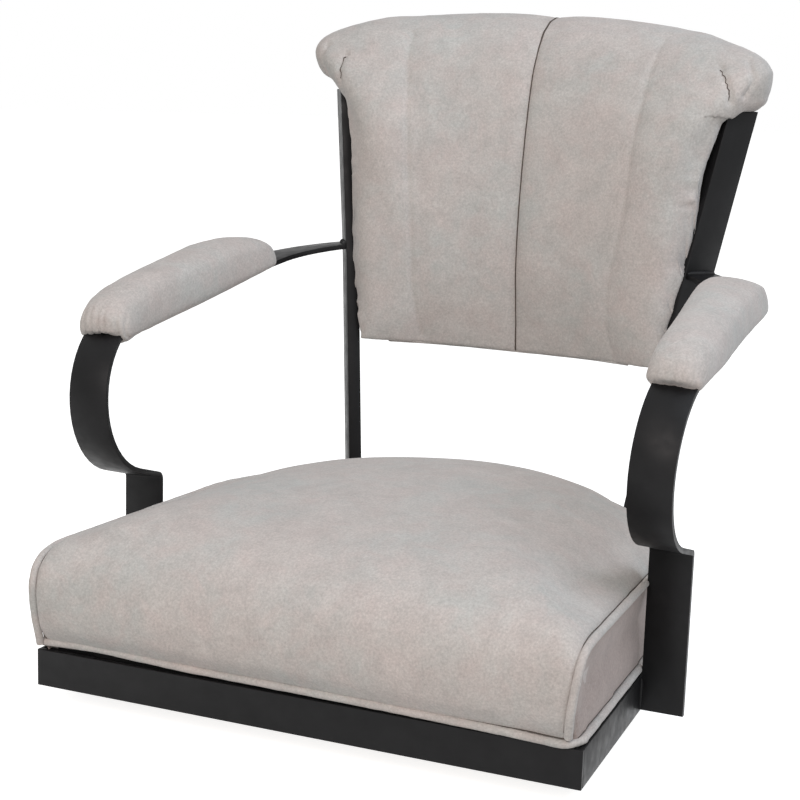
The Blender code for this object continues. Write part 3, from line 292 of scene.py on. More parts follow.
class FabricSettings(PropertyGroup):
    base: colour_setting("Fabric", "Colour of the nubuck fabric", "#BCB6B1")
    cool: colour_setting("Cool Clouds", "Colour of the fabric where the nap lies flat", "#B6B7B3")
    warm: colour_setting("Warm Clouds", "Colour of the fabric where the nap stands up", "#BEB3AE")
    # The side colour is painted shade: the seat's side panels are drawn darker and pinker than its
    # top, for the dimmer light on them
    side: colour_setting("Side Boxing", "Colour of the panel at the seat's sides", "#A59791")
    # The seam colour is painted shade: the dark line that the sunk seams and folds show
    thread: colour_setting("Seam", "Colour of the shaded stitching in the seams", "#5E554F")


class SteelSettings(PropertyGroup):
    coat: colour_setting("Powder Coat", "Colour of the coated steel", "#111112")
    edge: length_setting("Edge Radius", "Radius of the sheared edges of the flat bar", 0.0006)
    small_edge: length_setting("Small Edge Radius", "Radius of the edges of small parts", 0.0003)


class CushionSettings(PropertyGroup):
    seat_voxel: length_setting("Seat Grid", "Mesh size of the seat cushion", 0.0052)
    back_voxel: length_setting("Back Grid", "Mesh size of the back cushion", 0.0045)
    pad_voxel: length_setting("Pad Grid", "Mesh size of the arm pads", 0.0030)
    slack: length_setting("Slack", "How much smaller the foam is cut than its cover", 0.0030)
    reach: length_setting("Reach", "The furthest that the foam pushes its cover", 0.0060)
    pressure: FloatProperty(
        name="Pressure", description="How hard the foam pushes the cover", default=4.0, min=0.0)
    gathers: IntProperty(
        name="Gathers", description="Gathers over the front lip of an arm pad", default=6, min=0)


class WeltSettings(PropertyGroup):
    radius: length_setting("Welt Radius", "Radius of the covered cord", 0.0035)
    groove: length_setting("Groove", "How far the seam beside a welt pulls the fabric in", 0.0016)
    seam: length_setting("Seam Depth", "How far the middle seam pulls the back in", 0.0042)


class StageSettings(PropertyGroup):
    daylight: FloatProperty(
        name="Ambient Light", description="Strength of the light from all round",
        default=0.40, min=0.0)
    key: FloatProperty(
        name="Key Light", description="Power of the large soft light, in watts",
        default=29.0, min=0.0)
    fill: FloatProperty(
        name="Fill Light", description="Power of the warm light from the front, in watts",
        default=32.0, min=0.0)
    focal: FloatProperty(
        name="Focal Length", description="Focal length on a 36 mm sensor, in millimetres",
        default=88.76, min=1.0)


# Meshes

def settled(obj):
    """Turns an object and its modifiers into a plain mesh."""
    graph = bpy.context.evaluated_depsgraph_get()
    mesh = bpy.data.meshes.new_from_object(
        obj.evaluated_get(graph), preserve_all_data_layers=True, depsgraph=graph)
    obj.modifiers.clear()
    obj.data = mesh
    mesh.name = obj.name
    return obj


def new_piece(name, data):
    """An object in the scene, at the origin."""
    obj = bpy.data.objects.new(name, data)
    bpy.context.scene.collection.objects.link(obj)
    return obj


def mesh_from(bm, name):
    """A mesh from an edited one, which is then let go."""
    mesh = bpy.data.meshes.new(name)
    bm.to_mesh(mesh)
    bm.free()
    return mesh


def merged_copy(*names):
    """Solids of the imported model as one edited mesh, their loose triangles joined up."""
    bm = bmesh.new()
    for name in names:
        if name not in NODES:
            raise RuntimeError(f"the packed model has no {name}")
        bm.from_mesh(NODES[name].data)
    bmesh.ops.remove_doubles(bm, verts=bm.verts, dist=1e-5)
    bmesh.ops.dissolve_degenerate(bm, edges=bm.edges, dist=1e-6)
    return bm


def surface_of(*names):
    """A search tree over the surface of some solids."""
    bm = merged_copy(*names)
    tree = BVHTree.FromBMesh(bm)
    bm.free()
    return tree


def tree_over(obj):
    """A search tree over a piece's surface."""
    return BVHTree.FromPolygons(
        [v.co for v in obj.data.vertices], [p.vertices for p in obj.data.polygons])


def tree_of_points(points):
    """A search tree over points."""
    tree = KDTree(len(points))
    for index, point in enumerate(points):
        tree.insert(point, index)
    tree.balance()
    return tree


def use_material(obj, material):
    """Gives a whole piece one material, shaded smooth."""
    obj.data.materials.clear()
    obj.data.materials.append(material)
    for face in obj.data.polygons:
        face.material_index = 0
        face.use_smooth = True


def declare(obj, body, slot, *replaced):
    """Says what a finished piece moves with and the solids it stands for. The finish that it is
    given is not used.
    """
    if not obj.data.vertices:
        raise RuntimeError(f"{obj.name} has no surface")
    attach(obj, body)
    if replaced:
        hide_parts(*replaced)
    return obj


def rounded_edges(obj, width, segments):
    """Breaks the sharp edges of a piece."""
    configured(
        obj.modifiers.new("broken edges", "BEVEL"), limit_method="ANGLE",
        angle_limit=math.radians(35), width=width, segments=segments, harden_normals=True)
    return settled(obj)


def dressed(node, body, slot, material, edge, segments=2):
    """A solid of the model with its sharp edges broken, as a finished piece."""
    bm = merged_copy(node)
    bmesh.ops.dissolve_limit(
        bm, angle_limit=math.radians(0.4), verts=bm.verts, edges=bm.edges)
    obj = new_piece(f"{node}_finished", mesh_from(bm, node))
    use_material(obj, material)
    return declare(rounded_edges(obj, edge, segments), body, slot, node)


def path_mesh(name, lines, attributes=None):
    """A mesh of bare lines for the node trees that follow a path. A line is (points, closed)."""
    mesh = bpy.data.meshes.new(name)
    points, edges = [], []
    for line, closed in lines:
        first = len(points)
        points += [tuple(point) for point in line]
        last = len(points) - 1
        edges += [(index, index + 1) for index in range(first, last)]
        if closed:
            edges.append((last, first))
    mesh.from_pydata(points, edges, [])
    for key, (kind, values) in (attributes or {}).items():
        layer = mesh.attributes.new(key, kind, "POINT")
        field = "vector" if kind == "FLOAT_VECTOR" else "value"
        layer.data.foreach_set(field, np.array(values, dtype=np.float32).ravel())
    return mesh


# Node trees for what repeats or follows a path

def new_tree(name, inputs):
    """A geometry node tree with a geometry socket and named inputs, and its two ends."""
    tree = bpy.data.node_groups.new(name, "GeometryNodeTree")
    tree.interface.new_socket("Geometry", in_out="INPUT", socket_type="NodeSocketGeometry")
    for label, kind, default in inputs:
        socket = tree.interface.new_socket(label, in_out="INPUT", socket_type=kind)
        if default is not None:
            socket.default_value = default
    tree.interface.new_socket("Geometry", in_out="OUTPUT", socket_type="NodeSocketGeometry")
    return tree, add_node(tree, "NodeGroupInput").outputs


def close_tree(tree, geometry, material, smooth=True):
    """Ends a tree: smooth shading, real geometry instead of instances, and the material."""
    if smooth:
        geometry = add_node(tree, "GeometryNodeSetShadeSmooth", {
            "Geometry": geometry}).outputs["Geometry"]
    real = add_node(tree, "GeometryNodeRealizeInstances", {"Geometry": geometry})
    painted = add_node(tree, "GeometryNodeSetMaterial", {
        "Geometry": real.outputs["Geometry"], "Material": material})
    add_node(tree, "NodeGroupOutput", {"Geometry": painted.outputs["Geometry"]})
    return tree


def swept(tree, curve, radius, sides, scale, material):
    """Ends a tree with a round bar along a curve, its thickness scaled along the way."""
    profile = add_node(tree, "GeometryNodeCurvePrimitiveCircle", {
        "Resolution": sides, "Radius": radius})
    bar = add_node(tree, "GeometryNodeCurveToMesh", {
        "Curve": curve, "Profile Curve": profile.outputs["Curve"], "Scale": scale,
        "Fill Caps": True})
    return close_tree(tree, bar.outputs["Mesh"], material)


def cord_tree():
    """A round cord along each line, its thickness wandering a little as a covered cord's does."""
    tree, given = new_tree("Welt cord", (
        ("Radius", "NodeSocketFloat", 0.004), ("Sides", "NodeSocketInt", 16),
        ("Unevenness", "NodeSocketFloat", 0.06), ("Wander", "NodeSocketFloat", 0.012),
        ("Material", "NodeSocketMaterial", None)))
    curve = add_node(tree, "GeometryNodeMeshToCurve", {"Mesh": given["Geometry"]})
    wander = add_node(tree, "ShaderNodeTexNoise", {
        "Scale": math_node(tree, "DIVIDE", 1.0, given["Wander"]), "Detail": 2.0})
    thickness = add_node(tree, "ShaderNodeMapRange", {
        "Value": wander.outputs["Fac"], "From Min": 0.3, "From Max": 0.7,
        "To Min": math_node(tree, "SUBTRACT", 1.0, given["Unevenness"]),
        "To Max": math_node(tree, "ADD", 1.0, given["Unevenness"])})
    return swept(tree, curve.outputs["Curve"], given["Radius"], given["Sides"],
                 thickness.outputs["Result"], given["Material"])


def bead_tree():
    """A weld bead along each line: overlapping ripples that taper at its ends."""
    tree, given = new_tree("Weld bead", (
        ("Radius", "NodeSocketFloat", 0.0022), ("Ripple", "NodeSocketFloat", 0.0016),
        ("Depth", "NodeSocketFloat", 0.14), ("Material", "NodeSocketMaterial", None)))
    curve = add_node(tree, "GeometryNodeMeshToCurve", {"Mesh": given["Geometry"]})
    fine = add_node(tree, "GeometryNodeResampleCurve", {
        "Curve": curve.outputs["Curve"], "Length": 0.00035}, mode="LENGTH")
    along = add_node(tree, "GeometryNodeSplineParameter").outputs
    turns = math_node(tree, "DIVIDE", along["Length"], given["Ripple"])
    hump = math_node(tree, "POWER", math_node(tree, "FRACT", turns), 0.5)
    ripple = math_node(tree, "MULTIPLY_ADD", hump, given["Depth"], 0.86)
    ends = math_node(tree, "MULTIPLY", math_node(tree, "ADD", along["Factor"], -0.5), 2.0)
    taper = math_node(tree, "MULTIPLY_ADD", math_node(tree, "POWER", ends, 6.0), -0.6, 1.0)
    return swept(tree, fine.outputs["Curve"], given["Radius"], 14,
                 math_node(tree, "MULTIPLY", ripple, taper), given["Material"])


def fastener_tree():
    """A fastener at each point, turned to the way the point faces."""
    tree, given = new_tree("Fasteners", (
        ("Fastener", "NodeSocketObject", None), ("Size", "NodeSocketFloat", 1.0),
        ("Material", "NodeSocketMaterial", None)))
    shape = add_node(tree, "GeometryNodeObjectInfo", {"Object": given["Fastener"]})
    way = add_node(tree, "GeometryNodeInputNamedAttribute", {"Name": "way"},
                   data_type="FLOAT_VECTOR")
    turn = add_node(tree, "FunctionNodeAlignRotationToVector", {
        "Vector": way.outputs["Attribute"]}, axis="Z")
    size = add_node(tree, "ShaderNodeCombineXYZ", {
        "X": given["Size"], "Y": given["Size"], "Z": given["Size"]})
    placed = add_node(tree, "GeometryNodeInstanceOnPoints", {
        "Points": given["Geometry"], "Instance": shape.outputs["Geometry"],
        "Rotation": turn.outputs["Rotation"], "Scale": size.outputs["Vector"]})
    return close_tree(tree, placed.outputs["Instances"], given["Material"], smooth=False)


def run_tree(name, mesh, tree, values):
    """A piece made by a node tree, as a plain mesh."""
    obj = new_piece(name, mesh)
    modifier = obj.modifiers.new(tree.name, "NODES")
    modifier.node_group = tree
    for item in tree.interface.items_tree:
        if item.in_out == "INPUT" and item.name in values:
            modifier[item.identifier] = values[item.name]
    return settled(obj)


def sewn_cord(name, lines, radius, sides, unevenness, wander, material, *replaced):
    """A covered cord, or a dark thread of painted shade along a seam or a fold, along lines."""
    tree = bpy.data.node_groups.get("Welt cord") or cord_tree()
    piece = run_tree(name, path_mesh(f"{name} path", lines), tree, {
        "Radius": radius, "Sides": sides, "Unevenness": unevenness, "Wander": wander,
        "Material": material})
    return declare(piece, "seat", "nubuck_fabric", *replaced)


# Soft goods

def column(rows, values, part=1):
    """One column of a table, read at these values of its first column."""
    table = np.array(rows)
    return np.interp(values, table[:, 0], table[:, part])


def ramp(values, length):
    """Rises from 0 to 1 over a length, and is flat before and after it."""
    return np.clip(values / length, 0, 1)


def relaxed(obj, rounds):
    """Evens out the small steps of a meshed surface."""
    bm = bmesh.new()
    bm.from_mesh(obj.data)
    for _ in range(rounds):
        bmesh.ops.smooth_vert(
            bm, verts=bm.verts, factor=0.5, use_axis_x=True, use_axis_y=True, use_axis_z=True)
    bm.to_mesh(obj.data)
    bm.free()


def vectors(items, field):
    """One field of three numbers of each item, as an array."""
    found = np.empty(len(items) * 3)
    items.foreach_get(field, found)
    return found.reshape(-1, 3)


def places(mesh):
    """The vertices of a mesh as an array."""
    return vectors(mesh.vertices, "co")


def normals(mesh):
    """The vertex normals of a mesh as an array."""
    return vectors(mesh.vertex_normals, "vector")


def set_places(mesh, found):
    """Puts the vertices of a mesh at these places."""
    mesh.vertices.foreach_set("co", found.astype(np.float32).ravel())
    mesh.update()


def averaged(mesh, values, rounds):
    """Values at the vertices, each evened out with its neighbours'."""
    pairs = np.empty(len(mesh.edges) * 2, dtype=np.int32)
    mesh.edges.foreach_get("vertices", pairs)
    pairs = pairs.reshape(-1, 2)
    count = np.bincount(pairs.ravel(), minlength=len(values))
    shape = (len(values),) + (1,) * (values.ndim - 1)
    count = np.maximum(count, 1).reshape(shape)
    for _ in range(rounds):
        total = np.zeros_like(values)
        np.add.at(total, pairs[:, 0], values[pairs[:, 1]])
        np.add.at(total, pairs[:, 1], values[pairs[:, 0]])
        values = 0.5 * values + 0.5 * total / count
    return values


def filled_out(obj, surface, rounds):
    """Brings a smoothed form back out to the size of the solid that it started from."""
    found = places(obj.data)
    miss = np.array([list(surface.find_nearest(Vector(point))[0]) for point in found]) - found
    set_places(obj.data, found + averaged(obj.data, miss, rounds))


def inflated(obj, held, settings):
    """Lets the foam push its cover out by cloth pressure, where nothing hard holds it.

    Only the slow swelling is kept, because the real cover is taut and has no wrinkles.
    """
    rest = places(obj.data)
    outward = normals(obj.data)
    fixed = np.array([held(Vector(point)) for point in rest])
    start = rest - outward * settings.slack * (~fixed)[:, None]
    set_places(obj.data, start)
    group = obj.vertex_groups.new(name="held")
    group.add([int(index) for index in np.flatnonzero(fixed)], 1.0, "REPLACE")
    cloth = obj.modifiers.new("cover", "CLOTH")
    configured(
        cloth.settings, quality=5, mass=0.3, tension_stiffness=15, compression_stiffness=15,
        shear_stiffness=5, bending_stiffness=0.5, use_pressure=True,
        uniform_pressure_force=settings.pressure, vertex_group_mass="held")
    cloth.settings.effector_weights.gravity = 0
    configured(cloth.point_cache, frame_start=1, frame_end=20)
    for number in range(1, 21):
        bpy.context.scene.frame_set(number)
    settled(obj)
    bpy.context.scene.frame_set(1)
    move = places(obj.data) - start
    length = np.maximum(np.linalg.norm(move, axis=1), 1e-9)
    move *= np.minimum(1, settings.reach / length)[:, None]
    swell = averaged(obj.data, ((start + move - rest) * outward).sum(1), 30)
    swell = np.where(fixed, 0, swell - swell[~fixed].mean())
    swell = averaged(obj.data, swell, 4)
    set_places(obj.data, rest + outward * swell[:, None])
    obj.vertex_groups.clear()


def soft_form(name, bm, voxel, held, settings, material):
    """A padded form: the solid meshed evenly, smoothed, and swollen by its foam."""
    surface = BVHTree.FromBMesh(bm)
    obj = new_piece(name, mesh_from(bm, name))
    configured(obj.modifiers.new("even mesh", "REMESH"), mode="VOXEL", voxel_size=voxel,
               adaptivity=0.0)
    settled(obj)
    relaxed(obj, 4)
    filled_out(obj, surface, 3)
    inflated(obj, held, settings)
    configured(obj.modifiers.new("smooth", "SUBSURF"), levels=1, render_levels=1)
    settled(obj)
    use_material(obj, material)
    return obj


def smooth_line(points, closed, spacing):
    """Points along a smooth curve through these points, about this far apart."""
    points = [Vector(point) for point in points]
    count = len(points)
    line = []
    for index in range(count if closed else count - 1):
        around = [index + step for step in (-1, 0, 1, 2)]
        p0, p1, p2, p3 = (
            points[place % count if closed else min(max(place, 0), count - 1)]
            for place in around)
        steps = max(1, round((p2 - p1).length / spacing))
        for step in range(steps):
            t = step / steps
            line.append(0.5 * (
                2 * p1 + (p2 - p0) * t + (2 * p0 - 5 * p1 + 4 * p2 - p3) * t ** 2
                + (3 * p1 - p0 - 3 * p2 + p3) * t ** 3))
    if not closed:
        line.append(points[-1])
    return line


def on_surface(obj, line):
    """A line laid on a piece's surface."""
    tree = tree_over(obj)
    return [tree.find_nearest(point)[0] for point in line]


def in_front(obj, line):
    """The places on a piece's front face at these places across and heights."""
    tree = tree_over(obj)
    backwards = Vector((0, 1, 0))
    return [
        tree.ray_cast(Vector((x, -1, z)), backwards)[0]
        or tree.find_nearest(Vector((x, 0.25, z)))[0] for x, z in line]


def pulled_in(obj, line, reach, depth):
    """Draws the fabric in along a seam."""
    tree = tree_of_points(line)
    found = places(obj.data)
    outward = normals(obj.data)
    for index, point in enumerate(found):
        distance = tree.find(point)[2]
        if distance < reach:
            found[index] -= outward[index] * depth * (1 - distance / reach) ** 2
    set_places(obj.data, found)


# The pieces

def shared(name, make, *values):
    """The material of this name, made when the first piece asks for it."""
    return bpy.data.materials.get(name) or make(name, *values)


def fabric_material():
    """The fabric of the seat, the back and the pads."""
    colours = bpy.context.scene.stool_fabric
    return shared("nubuck microfibre", nubuck, colours.base, colours.cool, colours.warm,
                  colours.side)


def seam_shade_material():
    """The dark thread along the seams and folds, painted shade."""
    return shared("seam thread", seam_shade_thread, bpy.context.scene.stool_fabric.thread)


def coat_material():
    """The coat of the steel."""
    return shared("black powder coat", powder_coat, bpy.context.scene.stool_steel.coat)


class STOOL_OT_steelwork(Operator):
    """Finishes the seat frame, the uprights, the back bars and the arm straps"""

    bl_idname = "stool.steelwork"
    bl_label = "Steelwork"

    def execute(self, context):
        settings = context.scene.stool_steel
        coat = coat_material()
        bars = [
            "front_rail", "rear_rail", "left_rail", "right_rail", "front_strap", "rear_strap",
            "lower_back_bar", "upper_back_bar", "left_upright", "right_upright",
            "left_arm_strap", "right_arm_strap"]
        small = [
            "front_left_gusset", "front_right_gusset", "rear_left_tab", "rear_right_tab"]
        for node in bars:
            dressed(node, "seat", "black_powder_coat", coat, settings.edge)
        for node in small:
            dressed(node, "seat", "black_powder_coat", coat, settings.small_edge)
        return {"FINISHED"}


class STOOL_OT_swivel(Operator):
    """Finishes the swivel plates, the boss, the thrust ring, the stud and its washer"""

    bl_idname = "stool.swivel"
    bl_label = "Swivel"

    def execute(self, context):
        edge = context.scene.stool_steel.small_edge
        coat = coat_material()
        bright = shared("turned bright steel", metal, linear("#C7C6C3"), 0.22, 0.36, 0.0006)
        acetal = moulded_plastic("machined white acetal", linear("#ECEAE4"))
        for node, body, slot, material in (
                ("lower_swivel_plate", "swivel_base", "black_powder_coat", coat),
                ("upper_swivel_plate", "seat", "black_powder_coat", coat),
                ("swivel_boss", "swivel_base", "black_powder_coat", coat),
                ("thrust_ring", "swivel_base", "white_acetal", acetal),
                ("pivot_stud", "swivel_base", "bright_steel", bright),
                ("pivot_washer", "swivel_base", "bright_steel", bright)):
            dressed(node, body, slot, material, edge)
        return {"FINISHED"}


class STOOL_OT_boards(Operator):
    """Finishes the plywood boards of the seat, the back and the arm pads"""

    bl_idname = "stool.boards"
    bl_label = "Boards"

    def execute(self, context):
        edge = context.scene.stool_steel.small_edge
        board = shared("birch plywood", plywood, linear("#D8BE93"), linear("#B08C5C"))
        for node in ("seat_board", "back_board", "left_pad_board", "right_pad_board"):
            dressed(node, "seat", "plywood", board, edge, 1)
        return {"FINISHED"}


def axis_of(node, shortest=False):
    """The middle of a small turned part, the direction of its length and its half length."""
    points = places(NODES[node].data)
    middle = (points.min(0) + points.max(0)) / 2
    _, _, directions = np.linalg.svd(points - points.mean(0), full_matrices=False)
    way = directions[2 if shortest else 0]
    along = (points - middle) @ way
    centre = middle + way * (along.max() + along.min()) / 2
    return Vector(centre), Vector(way), (along.max() - along.min()) / 2


def lathe(bm, profile, sides, start=0.0):
    """Turns a profile of radii and heights about the upright axis, and gives its rings."""
    rings = []
    for radius, height in profile:
        turns = [math.tau * (step + start) / sides for step in range(sides if radius else 1)]
        rings.append([
            bm.verts.new((radius * math.cos(turn), radius * math.sin(turn), height))
            for turn in turns])
    for low, high in zip(rings, rings[1:]):
        for step in range(sides):
            after = (step + 1) % sides
            corners = (low[step % len(low)], low[after % len(low)],
                       high[after % len(high)], high[step % len(high)])
            bm.faces.new(list(dict.fromkeys(corners)))
    return rings


def hexagon(bm, radius, low, high, chamfer):
    """A hexagonal head or nut with its corners turned off at the top."""
    profile = [(radius, low), (radius, high - chamfer), (radius * 0.87, high)]
    rings = lathe(bm, profile, 6, 0.5)
    bm.faces.new(rings[-1])
    bm.faces.new(rings[0][::-1])


def solid_mesh(bm, name):
    """The mesh of a closed shape, its faces turned outwards."""
    bmesh.ops.recalc_face_normals(bm, faces=bm.faces)
    return mesh_from(bm, name)


def bolt_shape(length, radius, head_radius, head_height):
    """A hexagon bolt standing on the end of its thread, its middle at the origin."""
    bm = bmesh.new()
    low, high = -length / 2, length / 2
    under = high - head_height
    hexagon(bm, head_radius, under + 0.0003, high, 0.0007)
    pitch = 0.001
    profile = [(0, low), (radius * 0.72, low)]
    height = low + 0.0006
    while height < under - pitch:
        profile += [(radius * 0.84, height), (radius, height + pitch * 0.45)]
        height += pitch
    profile += [(radius, under), (head_radius * 0.84, under), (head_radius * 0.84, under + 0.0004),
                (0, under + 0.0004)]
    lathe(bm, profile, 20)
    return solid_mesh(bm, "bolt")


def nut_shape(height, outer, bore):
    """A hexagon nut with chamfered corners and a threaded bore."""
    bm = bmesh.new()
    half = height / 2
    hexagon(bm, outer, -half, half, 0.0006)
    lathe(bm, [(0, half + 0.0001), (bore * 1.12, half + 0.0001), (bore * 1.12, half - 0.0003),
               (0, half - 0.0003)], 20)
    return solid_mesh(bm, "nut")


def screw_shape(length, radius, head_radius, head_height):
    """A pan-head wood screw with a cross recess, its middle at the origin."""
    bm = bmesh.new()
    low, high = -length / 2, length / 2
    under = high - head_height
    profile = [(0, low), (radius * 0.25, low + 0.0008)]
    pitch = 0.0014
    height = low + 0.0012
    while height < under - 2 * pitch:
        taper = min(1.0, 0.4 + (height - low) / 0.005)
        profile += [(radius * 0.68 * taper, height), (radius * taper, height + pitch * 0.5)]
        height += pitch
    profile += [(radius * 0.8, under), (head_radius, under),
                (head_radius, under + head_height * 0.25)]
    for step in range(1, 6):
        turn = step / 6 * math.pi / 2
        profile.append((
            head_radius * (0.35 + 0.65 * math.cos(turn)),
            under + head_height * (0.25 + 0.75 * math.sin(turn))))
    profile += [(head_radius * 0.34, high), (0, high)]
    lathe(bm, profile, 24)
    screw = new_piece("screw shape", solid_mesh(bm, "screw"))
    across, wide, deep = head_radius * 1.05, head_radius * 0.24, head_height * 1.2
    for size in ((across, wide, deep), (wide, across, deep)):
        slot = bmesh.new()
        bmesh.ops.create_cube(slot, size=1.0)
        bmesh.ops.scale(slot, vec=size, verts=slot.verts)
        bmesh.ops.translate(slot, vec=(0, 0, high), verts=slot.verts)
        cutter = new_piece("slot shape", mesh_from(slot, "slot"))
        configured(screw.modifiers.new("recess", "BOOLEAN"), operation="DIFFERENCE",
                   solver="EXACT", object=cutter)
        settled(screw)
        bpy.data.objects.remove(cutter)
    mesh = screw.data
    bpy.data.objects.remove(screw)
    return mesh


class STOOL_OT_fasteners(Operator):
    """Puts the bolts, nuts and screws where the model has them"""

    bl_idname = "stool.fasteners"
    bl_label = "Fasteners"

    def execute(self, context):
        tree = fastener_tree()
        zinc = shared("zinc plate", metal, linear("#BFC3C6"), 0.30, 0.45, 0.0012)
        corners = ("front_left", "front_right", "rear_right", "rear_left")
        kinds = (
            ("swivel_bolts", [f"swivel_bolt_{c}" for c in corners], "bolt"),
            ("swivel_nuts", [f"swivel_nut_{c}" for c in corners], "nut"),
            *((f"{where}_screws", [n for n in sorted(NODES) if n.startswith(f"{where}_screw_")],
               "screw") for where in ("board", "back", "pad")),
        )
        for name, nodes, kind in kinds:
            middles, ways = [], []
            for node in nodes:
                middle, found, half = axis_of(node, kind == "nut")
                points = places(NODES[node].data) - np.array(middle)
                along = points @ np.array(found)
                radial = np.linalg.norm(points - np.outer(along, np.array(found)), axis=1)
                if kind != "nut" and radial[along > 0].max() < radial[along < 0].max():
                    found = -found
                middles.append(middle)
                ways.append(list(found))
            widest = float(radial.max())
            if kind == "bolt":
                shape = bolt_shape(2 * half, 0.003, widest, 0.0035)
            elif kind == "nut":
                shape = nut_shape(2 * half, widest, 0.003)
            else:
                shape = screw_shape(2 * half, 0.002, widest, 0.0022)
            pattern = new_piece(f"{kind} shape", shape)
            points = path_mesh(name, [([middle], False) for middle in middles], {
                "way": ("FLOAT_VECTOR", ways)})
            piece = run_tree(name, points, tree, {
                "Fastener": pattern, "Size": 1.0, "Material": zinc})
            bpy.data.objects.remove(pattern)
            declare(piece, "seat", "zinc_plate", *nodes)
        return {"FINISHED"}


class STOOL_OT_welds(Operator):
    """Lays the weld beads where the arms meet the uprights and the rails"""

    bl_idname = "stool.welds"
    bl_label = "Welds"

    def execute(self, context):
        tree = bead_tree()
        coat = coat_material()
        for side, _ in SIDES:
            for kind, other, radius in (("arm", "upright", 0.0034), ("leg", "rail", 0.0019)):
                node = f"{side}_{kind}_weld"
                middle, way, half = axis_of(node)
                joined = (surface_of(f"{side}_arm_strap"), surface_of(f"{side}_{other}"))
                line = []
                for share in (-0.97, -0.5, 0.0, 0.5, 0.97):
                    point = middle + way * half * share
                    for _ in range(6):
                        sides = [tree_of.find_nearest(point)[0] for tree_of in joined]
                        point = (sides[0] + sides[1]) / 2
                    line.append(point)
                bead = run_tree(f"{node}_bead", path_mesh(node, [(line, False)]), tree, {
                    "Radius": radius, "Ripple": 0.0018, "Depth": 0.14, "Material": coat})
                declare(bead, "seat", "black_powder_coat", node)
        return {"FINISHED"}


# The seat

FRONT_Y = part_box("front_rail")[0].y
REAR_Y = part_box("rear_rail")[1].y
BEND_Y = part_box("rear_rail")[0].y
HALF_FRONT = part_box("front_rail")[1].x
HALF_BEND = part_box("rear_rail")[1].x
TAPER = (HALF_FRONT - HALF_BEND) / (BEND_Y - FRONT_Y)
CUSHION_LOW, CUSHION_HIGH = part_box("seat_cushion")
WELT_Z = (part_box("seat_base_welt")[0].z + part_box("seat_base_welt")[1].z) / 2

# The upper welt on the front corners: height above the cushion's foot, distance behind the
# front rail, and inset from the side of the frame. Sewn by hand, the two differ a little.
RIGHT_CORNER = (
    (-0.0010, -0.0020, 0.0120), (0.0140, -0.0085, 0.0100), (0.0300, -0.0125, 0.0075),
    (0.0490, -0.0145, 0.0045), (0.0610, -0.0115, 0.0030), (0.0700, -0.0030, 0.0020),
    (0.0735, 0.0160, 0.0015))
LEFT_CORNER = (
    (-0.0045, -0.0015, 0.0045), (0.0220, -0.0085, 0.0045), (0.0460, -0.0140, 0.0060),
    (0.0590, -0.0125, 0.0060), (0.0680, -0.0070, 0.0055), (0.0750, 0.0040, 0.0050),
    (0.0785, 0.0255, 0.0040))
# The lower welt along the front: share from left to right, lift, forward shift
FRONT_WAVE = (
    (-1.00, 0.0012, -0.0026), (-0.88, 0.0026, -0.0018), (-0.75, 0.0028, -0.0016),
    (-0.62, 0.0018, -0.0018), (-0.45, 0.0004, -0.0018), (-0.25, 0.0000, -0.0020),
    (0.00, 0.0000, -0.0026),
    (0.40, -0.0006, -0.0036), (0.80, -0.0012, -0.0060), (0.92, -0.0022, -0.0064),
    (1.00, -0.0028, -0.0060))
SIDE_DROP = -0.0012
# How a hand-filled cushion differs from its pattern: place across the seat, and lift
SEAT_FILL = (
    (-0.24, -0.0056), (-0.20, -0.0066), (-0.16, -0.0050), (-0.12, -0.0024), (-0.05, 0.0),
    (0.03, 0.0030), (0.15, 0.0055), (0.22, 0.0040))


def half_width(y, inset):
    """Half the seat frame's width at a depth, less an inset."""
    return HALF_FRONT - (y - FRONT_Y) * TAPER - inset


def round_back(inset, steps=28):
    """The round back of the seat frame, drawn in, from its right end to its left end."""
    depth = REAR_Y - BEND_Y
    line = []
    for step in range(steps + 1):
        turn = math.pi * step / steps
        width = HALF_BEND - depth * TAPER * math.sin(turn)
        across, back = depth * math.cos(turn), width * math.sin(turn)
        length = math.hypot(across, back)
        line.append((
            width * math.cos(turn) - inset * across / length,
            BEND_Y + depth * math.sin(turn) - inset * back / length))
    return line


def side_line(sign, depths, inset):
    """One side of the seat frame, drawn in, at these depths."""
    return [(sign * half_width(y, inset), y) for y in depths]


def inside_frame(points):
    """How far in from the frame's outline each point is, seen from above."""
    sideways = half_width(points[:, 1], np.abs(points[:, 0]))
    depth = REAR_Y - BEND_Y
    back = np.maximum(points[:, 1] - BEND_Y, 0)
    width = HALF_BEND - depth * TAPER * back / depth
    turn = np.arctan2(back / depth, np.abs(points[:, 0]) / width)
    edge = np.hypot(width * np.cos(turn), depth * np.sin(turn))
    round_end = edge - np.hypot(points[:, 0], back)
    return np.minimum(np.where(back > 0, round_end, sideways), points[:, 1] - FRONT_Y)


